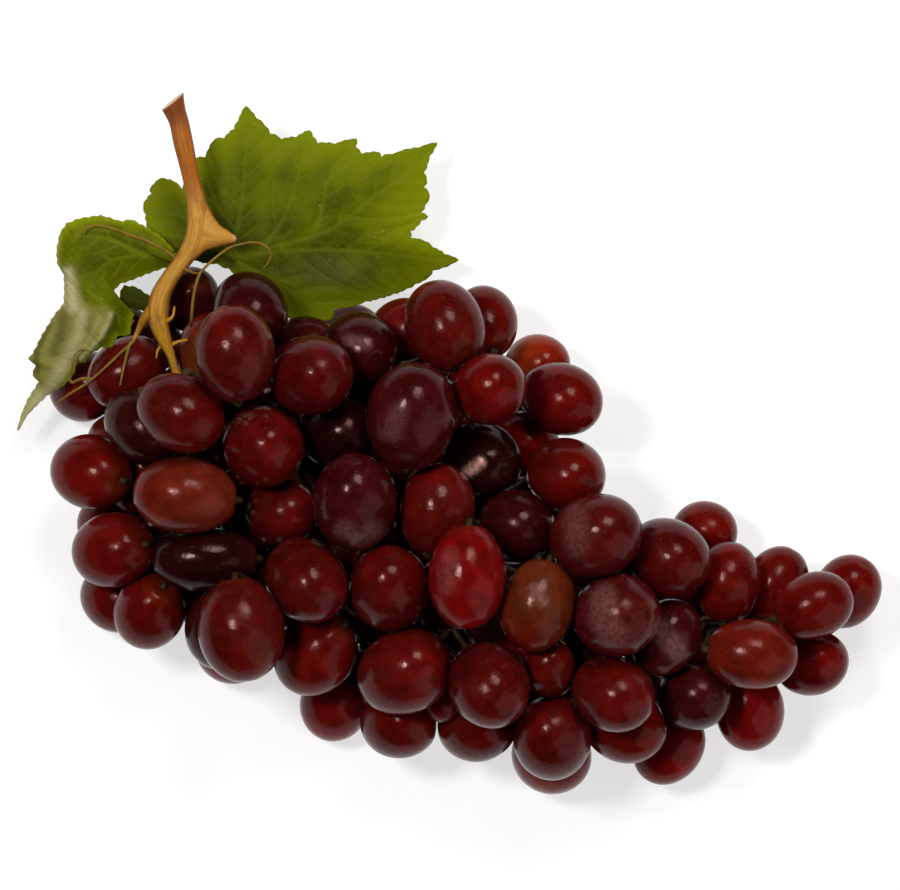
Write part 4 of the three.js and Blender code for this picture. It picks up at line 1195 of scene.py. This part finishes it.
def leaf_veins(mains, outline):
    """Main veins as smooth lines, then the side veins that leave them on both sides, with their widths."""
    paths = [smooth_path(main, 40) for main in mains]
    veins = [(path, *MAIN_VEIN) for path in paths]
    for k, path in enumerate(paths):
        gone = lengths_along(path)
        others = [other for j, other in enumerate(paths) if j != k]
        others = np.vstack(others) if others else np.empty((0, 2))
        for side in (1, -1):
            for at in np.arange(VEIN_SPACING * (1 + 0.25 * side), gone[-1] * 0.95, VEIN_SPACING):
                start, ahead = (np.array([np.interp(place, gone, path[:, axis]) for axis in (0, 1)])
                                for place in (at, at + 1))
                way = ahead - start
                if not way.any():
                    continue
                heading = math.atan2(way[1], way[0]) + side * VEIN_ANGLE
                line = side_vein(start, heading, side, path, others, outline)
                if len(line) > 2:
                    veins.append((line, *SIDE_VEIN))
    return veins


def line_distance(points, start, end):
    """Distance from each point to the straight stretch between two points."""
    along = end - start
    share = np.clip((points - start) @ along / (along @ along), 0, 1)
    return np.linalg.norm(points - start - share[:, None] * along, axis=1)


def path_distance(points, path):
    """Least distance from each point to a line of straight stretches."""
    path = np.array(path, float)
    return np.min([line_distance(points, start, end) for start, end in zip(path[:-1], path[1:])], axis=0)


def vein_field(points, veins):
    """For each point, how much of a vein it is on, and its distance to the nearest vein.

    The first is the largest exp(-(distance / width)^2) over all stretches, and less for thin veins.
    """
    strength, nearest = np.zeros(len(points)), np.full(len(points), 1e3)
    for line, wide, narrow in veins:
        widths = np.linspace(wide, narrow, len(line))
        for start, end, width in zip(line[:-1], line[1:], widths):
            distance = line_distance(points, start, end)
            weight = 0.45 + 0.55 * width / MAIN_VEIN[0]
            strength = np.maximum(strength, np.exp(-(distance / width) ** 2) * weight)
            nearest = np.minimum(nearest, distance)
    return strength, nearest


SWELL_REACH = 2.2                   # mm from a vein to where the blade has swollen up
RIB = 1.6                           # how high a vein stands out below, over how deep it is sunk above


def blade_faces(plan, height, thickness, veins, settings, relief=1.0):
    """Upper and lower skin of a blade whose middle lies at that height.

    Between veins it swells up by the pucker, as 1 - exp(-(distance / SWELL_REACH)^2). Veins are grooves
    above and ridges below.
    """
    flat = plan.reshape(-1, 2)
    strength, nearest = (values.reshape(height.shape) for values in vein_field(flat, veins))
    swelling = relief * millimetres(settings.pucker) * (1 - np.exp(-(nearest / SWELL_REACH) ** 2))
    groove = relief * millimetres(settings.groove) * strength
    middle = height + swelling - relief * millimetres(settings.pucker) / 2
    upper = np.dstack([plan, middle + thickness / 2 - groove])
    lower = np.dstack([plan, middle - thickness / 2 - RIB * groove])
    return upper, lower, strength


SERRATION = 0.32                    # mm, height of the smallest teeth
TOOTH = 2.1                         # mm, from one of the smallest teeth to the next
TOOTH_RISE = 0.67                   # share of a tooth's length over which it rises
EDGE_BULGE = 0.03                   # how far a side bulges over its length


def small_teeth(travelled):
    """Height of the smallest teeth: a slope that rises over the first two thirds and falls over the rest."""
    share = np.mod(travelled / TOOTH, 1)
    return SERRATION * np.where(share < TOOTH_RISE, share / TOOTH_RISE, (1 - share) / (1 - TOOTH_RISE))


def finer_outline(outline, spacing):
    """The outline's points with more between them, each side bulging a little and set with teeth."""
    outline = np.array(outline, float)
    ahead = np.roll(outline, -1, axis=0)
    rows = []
    for start, end in zip(outline, ahead):
        length = np.linalg.norm(end - start)
        parts = max(2, round(length / spacing))
        share = np.arange(parts) / parts
        outward = np.array([end[1] - start[1], start[0] - end[0]]) / length
        teeth = small_teeth(share * max(1, round(length / TOOTH)) * TOOTH)
        bulge = EDGE_BULGE * length * np.sin(np.pi * share) + teeth * np.sin(np.pi * share)
        rows.append(start + share[:, None] * (end - start) + bulge[:, None] * outward)
    return np.vstack(rows)


def turned_one_way(outline, heart):
    """The outline with each point's angle round the heart no less than that of the one before it.

    So no part of the blade lies over another.
    """
    away = outline - heart
    angle = np.unwrap(np.arctan2(away[:, 1], away[:, 0]))
    angle = np.maximum.accumulate(angle) + np.linspace(0, 0.01, len(angle))
    return heart + np.linalg.norm(away, axis=1)[:, None] * np.stack([np.cos(angle), np.sin(angle)], axis=1)


LARGE_RINGS = 58
LARGE_SPACING = 0.55                # mm between points along the edge
LARGE_WAVES = 5
EDGE_WAVES = 13
EDGE_WAVE = 0.7                     # mm


def large_leaf_height(x, y):
    """The large leaf droops as distance^1.5 from its petiole point and is waved round it.

    Finer ripples grow towards its edge.
    """
    away = np.hypot(x - LEAF_HEART[0], y - LEAF_HEART[1]) / LARGE_SPAN
    angle = np.arctan2(y - LEAF_HEART[1], x - LEAF_HEART[0])
    ripple = EDGE_WAVE * np.minimum(away, 1) ** 2 * np.sin(EDGE_WAVES * angle + 1.0)
    wave = LARGE_WAVE * away * np.sin(LARGE_WAVES * angle)
    return LARGE_HEART_HEIGHT - LARGE_DROOP * away ** 1.5 + wave + ripple


def large_leaf_painted_shade(x, y):
    """Painted shade on the large leaf: darker next to the stem, in its upper middle, and below its level
    vein, where it leans away from the light, with soft bands of shade round the heart."""
    level = steps(38, 66, y + 0.12 * (x + 52))
    beside = 1 - 0.25 * np.exp(-((x + 55) / 5) ** 2 - ((y - 55) / 12) ** 2)
    bands = 1 + 0.07 * np.sin(7 * np.arctan2(y - LEAF_HEART[1], x - LEAF_HEART[0]) + 0.6)
    upper_painted_shade = 1 - 0.24 * np.exp(-((x + 42) / 13) ** 2 - ((y - 62) / 15) ** 2)
    return (0.7 + 0.42 * level) * beside * bands * upper_painted_shade


def large_leaf_net(settings):
    """The large leaf: rings grown from the petiole point to the toothed outline, above, then back below."""
    heart = np.array(LEAF_HEART)
    outline = turned_one_way(finer_outline(LARGE_OUTLINE, LARGE_SPACING), heart)
    part = (np.arange(1, LARGE_RINGS + 1) / LARGE_RINGS)[:, None]
    plan = heart + part[..., None] * (outline - heart)[None]
    height = large_leaf_height(plan[..., 0], plan[..., 1])
    thickness = millimetres(settings.thickness) * (1 - 0.6 * part ** 8)
    veins = leaf_veins(LARGE_VEINS, np.array(LARGE_OUTLINE, float))
    upper, lower, strength = blade_faces(plan, height, thickness, veins, settings)
    rings = np.concatenate([upper, lower[::-1]])
    half = millimetres(settings.thickness) / 2
    poles = [(*LEAF_HEART, LARGE_HEART_HEIGHT + lift) for lift in (half - 0.3, -half - 0.4)]
    edge = np.broadcast_to(part, strength.shape)
    under = np.concatenate([np.zeros_like(strength), np.ones_like(strength)])
    tone = large_leaf_painted_shade(rings[..., 0], rings[..., 1])
    # Painted sheen: a faint greyish patch low in the middle of the blade, in the pale colour
    painted_sheen = 0.06 * np.exp(-((rings[..., 0] + 28) / 9) ** 2 - ((rings[..., 1] - 42) / 3.5) ** 2)
    return net(poles[0], rings, poles[1], under=net_values(under),
               vein=net_values(np.concatenate([strength, strength[::-1]]), 1.0, 1.0),
               edge=net_values(np.concatenate([edge, edge[::-1]])),
               tone=net_values(tone), pale=net_values(painted_sheen))


def ribbon_net(pairs, row_count, column_count, crown, veins, settings, shading):
    """A blade between two toothed edges: straight between an outer and an inner point, and crowned by
    crown * 4 c (1 - c) where it is wide. Its upper skin and its lower one are joined into rings across it.

    shading gives for the points in plan how much the underside shows, how pale they are, their painted light
    and shade, and how far they are raised.
    """
    pairs = np.array(pairs, float)
    place = np.linspace(0, len(pairs) - 1, row_count)
    low = np.minimum(place.astype(int), len(pairs) - 2)
    rows = pairs[low] + (place - low)[:, None, None] * (pairs[low + 1] - pairs[low])
    across = rows[:, 0, :2] - rows[:, 1, :2]
    width = np.linalg.norm(across, axis=1)
    for side, sign in ((0, 1), (1, -1)):
        height = small_teeth(lengths_along(rows[:, side, :2])) * np.minimum(1, width / 4)
        rows[:, side, :2] += sign * height[:, None] * across / width[:, None]
    share = (1 - np.cos(np.linspace(0, np.pi, column_count))) / 2
    share = (share + np.linspace(0, 1, column_count)) / 2
    grid = rows[:, None, 0] + share[None, :, None] * (rows[:, 1] - rows[:, 0])[:, None]
    shades = shading(grid[..., :2].reshape(-1, 2))
    turned, pale, tone, raised = (values.reshape(grid.shape[:2]) for values in shades)
    height = grid[..., 2] + crown * np.minimum(1, width / 15)[:, None] * 4 * share * (1 - share) + raised
    thickness = millimetres(settings.thickness) * (1 - 0.5 * np.abs(2 * share - 1) ** 6)
    upper, lower, strength = blade_faces(grid[..., :2], height, thickness, veins, settings, relief=0.4)
    rings = np.concatenate([upper, lower[:, ::-1]], axis=1)
    edge = np.broadcast_to(np.abs(2 * share - 1) ** 2, strength.shape)
    values = {"under": (turned, 1 - turned), "vein": (strength, strength), "edge": (edge, edge),
              "tone": (tone, tone), "pale": (pale, pale)}
    both = {key: net_values(np.concatenate([above, below[:, ::-1]], axis=1))
            for key, (above, below) in values.items()}
    return net(rings[0].mean(axis=0), rings, rings[-1].mean(axis=0), **both)


def left_leaf_shading(points):
    """The left leaf bends over: inside UNDERSIDE its felt shows. It is paler along its pale streaks, partly
    its felt and partly painted sheen, and darker along its dark streaks as painted shade. Its painted light
    also makes its right lobe and its crest lighter. It is raised by 0.8 exp(-(distance / 1.3 mm)^2) along the
    bend."""
    corners = np.array(UNDERSIDE, float)
    away = path_distance(points, np.vstack([corners, corners[:1]]))
    turned = steps(-0.9, 0.9, away * np.where(inside(points, corners), 1, -1))
    pale = laid_along(points, PALE_SHEEN_STREAKS, 2)
    dark = laid_along(points, DARK_STREAKS, 2)
    raised = laid_along(points, [(BEND, 1.3, 0.8)], 2)
    lobe = steps(-79, -84, points[:, 0]) * steps(36, 30, points[:, 1])
    crest = steps(42, 50, points[:, 1])
    tone = (1.05 + 0.1 * lobe + 0.25 * crest) * (1 - dark)
    return turned, pale, tone, raised


def shaded_lobe(points):
    """The curled lobe shows its upper side, and its colour is scaled to 0.3 as painted shade from the stem.
    """
    nothing = np.zeros(len(points))
    return nothing, nothing, nothing + 0.3, nothing


def leaf_stalk_net(route):
    """A leaf's own stalk, which carries on as its veins."""
    made = sweep(route, count=16, columns=20, ridge=0.04)
    count = len(made["points"])
    constants = {"under": 0.0, "vein": 1.0, "edge": 0.0, "tone": 0.9, "pale": 0.0}
    made["values"] = {key: np.full((count, 1), value) for key, value in constants.items()}
    return made


# Stalks inside the bunch


def spray_branch(members, berries):
    """A branch from the nearest point of the main stem towards the middle of its spray."""
    middle = berries["centre"][members].mean(axis=0)
    route = np.array(STEM_ROUTE, float)[STEM_INSIDE:, :3]
    root = route[np.argmin(np.linalg.norm(route - middle, axis=1))]
    bow = (root + middle) / 2 + np.array([0, 0, 2.0])
    return smooth_path([(*root, 1.35), (*bow, 1.1), (*middle, 0.8)], 20)


LOW_END = 11.0                      # mm, from stem ends below this height the stalk goes up
STALK_DEPTH = 1.1                   # mm that a stalk reaches into its berry


def berry_stalk(berries, k, branch, radius):
    """A berry's stalk: a warty cap in its dimple, then a thin stalk that bends down to its branch, or up to
    it from a berry that lies low."""
    axis, centre, long = berries["axis"][k], berries["centre"][k], berries["long"][k]
    end = centre - axis * (long - STALK_DEPTH)
    away = np.linalg.norm(branch[:, :3] - end, axis=1)
    target = branch[np.argmin(away), :3]
    rest = target - end
    down = UP * (1.0 if end[2] > LOW_END else -1.0)
    knots = np.array([
        (*end, radius * 1.6),
        (*(end - axis * 0.7), radius * 1.9),
        (*(end - axis * 1.4 - down * 0.7), radius * 1.2),
        (*(end - axis * 1.6 - down * 2.2 + rest * 0.08), radius),
        (*(end - down * 2.4 + rest * 0.55), radius),
        (*target, radius),
    ])
    knots[:, 2] = np.maximum(knots[:, 2], 3 * radius)
    return sweep(knots, count=18, columns=10, ridge=0.05, seed=k + 1)


# Operators

# Tilt from straight above and heading in degrees, and the length of a side in m
SOFTBOXES = {"key": (24, 155, 0.25), "fill": (38, 72, 0.5), "side": (58, -38, 1.7)}
LIGHT_DISTANCE = 1.5                # m
FLOOR_RADIUS = 2.0                  # m


def settings_of(context):
    """The scene's settings for this bunch."""
    scene = context.scene
    return scene.grape_berries, scene.grape_stem, scene.grape_leaves, scene.grape_stage


class GRAPES_OT_stage(bpy.types.Operator):
    """Sets up the pale floor, the soft lights and the camera that looks straight down"""

    bl_idname = "grapes.stage"
    bl_label = "Stage"

    def execute(self, context):
        stage = settings_of(context)[3]
        scene = context.scene
        scene.view_settings.view_transform = "Standard"
        target = np.array([PLACE[0], PLACE[1], millimetres(stage.target_height)]) * MM
        lens = bpy.data.cameras.new("overhead_camera")
        lens.sensor_width = 36.0
        lens.lens = lens.sensor_width * stage.distance / stage.view_width
        lens.clip_end = 20.0
        camera = bpy.data.objects.new("overhead_camera", lens)
        camera.location = target + np.array([0, 0, stage.distance])
        scene.collection.objects.link(camera)
        scene.camera = camera
        for name, (tilt, heading, size) in SOFTBOXES.items():
            power = getattr(stage, f"{name}_power")
            self.add_softbox(scene, f"{name}_softbox", target, tilt, heading, size, power)
        world = bpy.data.worlds.new("studio_room")
        world.use_nodes = True
        world.node_tree.nodes["Background"].inputs["Color"].default_value = (1, 1, 1, 1)
        world.node_tree.nodes["Background"].inputs["Strength"].default_value = stage.sky
        scene.world = world
        self.add_floor(scene, stage)
        return {"FINISHED"}

    def add_softbox(self, scene, name, target, tilt, heading, size, power):
        """A square light at LIGHT_DISTANCE from the target, tilted from straight above towards a heading."""
        light = bpy.data.lights.new(name, "AREA")
        light.size = size
        light.energy = power
        lamp = bpy.data.objects.new(name, light)
        slope, turn = math.radians(tilt), math.radians(heading)
        way = np.array([math.sin(slope) * math.cos(turn), math.sin(slope) * math.sin(turn), math.cos(slope)])
        lamp.location = target + way * LIGHT_DISTANCE
        lamp.rotation_euler = (0, slope, turn)
        scene.collection.objects.link(lamp)

    def add_floor(self, scene, stage):
        """A round floor: one flat disc of points on a circle."""
        angle = np.linspace(0, 2 * np.pi, 96, endpoint=False)
        rim = FLOOR_RADIUS * np.stack([np.cos(angle), np.sin(angle), np.zeros_like(angle)], axis=1)
        mesh = bpy.data.meshes.new("floor")
        mesh.from_pydata(rim.tolist(), [], [list(range(len(rim)))])
        material, tree = new_material("matt_white_panel")
        grain = add_node(tree, "ShaderNodeTexNoise", {"Scale": 40.0, "Detail": 2.0}).outputs["Fac"]
        give_surface(tree, {
            "Base Color": (*stage.floor, 1), "Roughness": remap(tree, grain, 0.0, 1.0, 0.8, 0.9, "LINEAR"),
            "IOR": 1.3, "Emission Color": (1, 1, 1, 1), "Emission Strength": stage.floor_glow})
        mesh.materials.append(material)
        floor = bpy.data.objects.new("floor", mesh)
        scene.collection.objects.link(floor)


class GRAPES_OT_sprays(bpy.types.Operator):
    """Builds each spray's berries with their skins pressed together"""

    bl_idname = "grapes.sprays"
    bl_label = "Berries"

    def execute(self, context):
        settings = settings_of(context)[0]
        berries = settled_bunch(settings)
        main, late = berry_kinds(berries, settings)
        sizes = [(BERRY_RINGS, BERRY_COLUMNS)] * len(main) + [(LATE_RINGS, LATE_COLUMNS)] * len(late)
        material = skin_material(settings)
        random = np.random.default_rng(settings.seed)
        nets = [berry_net(berries, k, kind, random, *sizes[k]) for k, kind in enumerate(main + late)]
        for number, name in enumerate(SPRAY_NAMES):
            own = [nets[k] for k in np.flatnonzero(berries["spray"] == number)]
            put_mesh(name.replace("berries", "grapes"), own, material, [name])
        return {"FINISHED"}


class GRAPES_OT_side_stalks(bpy.types.Operator):
    """Builds the branch of each spray and the stalk of each berry"""

    bl_idname = "grapes.side_stalks"
    bl_label = "Side stalks"

    def execute(self, context):
        berry_settings, stem, _, _ = settings_of(context)
        berries = settled_bunch(berry_settings)
        material = tendril_material("green_grape_stalk", stem.stalk, 0.5)
        nets = []
        for number in range(len(SPRAY_NAMES)):
            members = np.flatnonzero(berries["spray"] == number)
            branch = spray_branch(members, berries)
            nets.append(sweep(branch, count=20, columns=12, ridge=0.06, seed=number + 1))
            nets += [berry_stalk(berries, k, branch, millimetres(stem.stalk_radius)) for k in members]
        put_mesh("side_stalks", nets, material)
        return {"FINISHED"}


class GRAPES_OT_stem(bpy.types.Operator):
    """Builds the woody stalk with its slanting cut, its stub, its knot and its short twigs"""

    bl_idname = "grapes.stem"
    bl_label = "Main stem"

    def execute(self, context):
        stem = settings_of(context)[1]
        bark = sweep(BARK_ROUTE, count=300, columns=44, bulges=(0.0, 1.0), ridge=0.06, seed=3, cut=CUT_FACE)
        nets = [bark, stub_net(columns=56)]
        branches = [(BUMP_ROUTE, 50, 28, BUMP_START)]
        branches += [(route, 24, 14, TWIG_START) for route in SIDE_TWIGS]
        for number, (route, count, columns, start) in enumerate(branches):
            made = sweep(route, count, columns, ridge=0.06, seed=4 + number)
            made["values"]["along"] = made["values"]["along"] + start
            nets.append(made)
        put_mesh("woody_stem", nets, bark_material(stem), ["stem"])
        return {"FINISHED"}


class GRAPES_OT_tendrils(bpy.types.Operator):
    """Builds the tendrils and the dry twig over the left berries, laid on what is below them"""

    bl_idname = "grapes.tendrils"
    bl_label = "Tendrils"

    def execute(self, context):
        berry_settings, stem, _, _ = settings_of(context)
        radius = millimetres(stem.tendril_radius)
        berries = settled_bunch(berry_settings)
        nets = []
        for number, points in enumerate(TENDRILS.values()):
            path = smooth_path(np.array(points, float), 6 * len(points))
            path[:, 2] = np.maximum(path[:, 2], berry_tops(berries, path[:, :2]) + radius + TENDRIL_LIFT)
            route = np.column_stack([path, np.linspace(radius, radius * TENDRIL_TAPER, len(path))])
            nets.append(sweep(route, count=24 * len(points), columns=14, ridge=0.08, seed=20 + number))
        material = tendril_material("dry_vine_tendril", stem.tendril, 0.55)
        put_mesh("tendrils", nets, material, ["stem"])
        return {"FINISHED"}


class GRAPES_OT_large_leaf(bpy.types.Operator):
    """Builds the large leaf with its teeth, veins and stalk"""

    bl_idname = "grapes.large_leaf"
    bl_label = "Large leaf"

    def execute(self, context):
        leaf = settings_of(context)[2]
        nets = [large_leaf_net(leaf), leaf_stalk_net(LARGE_STALK)]
        put_mesh("large_vine_leaf", nets, leaf_material(leaf), ["leaf_large"])
        return {"FINISHED"}


class GRAPES_OT_left_leaf(bpy.types.Operator):
    """Builds the turned-over left leaf and the curled lobe behind the stem"""

    bl_idname = "grapes.left_leaf"
    bl_label = "Left leaf"

    def execute(self, context):
        leaf = settings_of(context)[2]
        pairs = np.array(LEFT_PAIRS, float)
        outline = np.vstack([pairs[:, 0, :2], pairs[::-1, 1, :2]])
        veins = leaf_veins(LEFT_VEINS, outline)
        blade = ribbon_net(LEFT_PAIRS, row_count=360, column_count=48, crown=LEFT_CROWN, veins=veins,
                           settings=leaf, shading=left_leaf_shading)
        material = leaf_material(leaf)
        put_mesh("left_vine_leaf", [blade, leaf_stalk_net(LEFT_STALK)], material, ["leaf_left"])
        midrib = [(np.array(LOBE_MIDRIB), *MIDRIB)]
        lobe = ribbon_net(LOBE_PAIRS, row_count=60, column_count=24, crown=LOBE_CROWN, veins=midrib,
                          settings=leaf, shading=shaded_lobe)
        put_mesh("curled_lobe", [lobe], material)
        return {"FINISHED"}


class GRAPES_PT_panel(bpy.types.Panel):
    """Lists the pieces of the bunch and their settings"""

    bl_label = "Bunch of grapes"
    bl_idname = "GRAPES_PT_panel"
    bl_space_type = "VIEW_3D"
    bl_region_type = "UI"
    bl_category = "Grapes"

    def draw(self, context):
        for operator in OPERATORS:
            self.layout.operator(operator.bl_idname)
        for settings in settings_of(context):
            box = self.layout.box()
            for key in settings.__annotations__:
                box.prop(settings, key)


OPERATORS = (
    GRAPES_OT_stage, GRAPES_OT_sprays, GRAPES_OT_side_stalks, GRAPES_OT_stem, GRAPES_OT_tendrils,
    GRAPES_OT_large_leaf, GRAPES_OT_left_leaf,
)
SETTINGS = {
    "grape_berries": BerrySettings, "grape_stem": StemSettings, "grape_leaves": LeafSettings,
    "grape_stage": StageSettings,
}
CLASSES = (*SETTINGS.values(), *OPERATORS, GRAPES_PT_panel)


def register():
    """Registers the classes and gives each scene its settings."""
    for cls in CLASSES:
        bpy.utils.register_class(cls)
    for key, cls in SETTINGS.items():
        setattr(bpy.types.Scene, key, bpy.props.PointerProperty(type=cls))


def unregister():
    """Takes the settings and the classes away again."""
    for key in SETTINGS:
        delattr(bpy.types.Scene, key)
    for cls in reversed(CLASSES):
        bpy.utils.unregister_class(cls)


def main():
    """Builds everything in order."""
    register()
    bpy.ops.grapes.stage()
    bpy.ops.grapes.sprays()
    bpy.ops.grapes.side_stalks()
    bpy.ops.grapes.stem()
    bpy.ops.grapes.tendrils()
    bpy.ops.grapes.large_leaf()
    bpy.ops.grapes.left_leaf()
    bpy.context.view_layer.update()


if __name__ == "__main__":
    main()
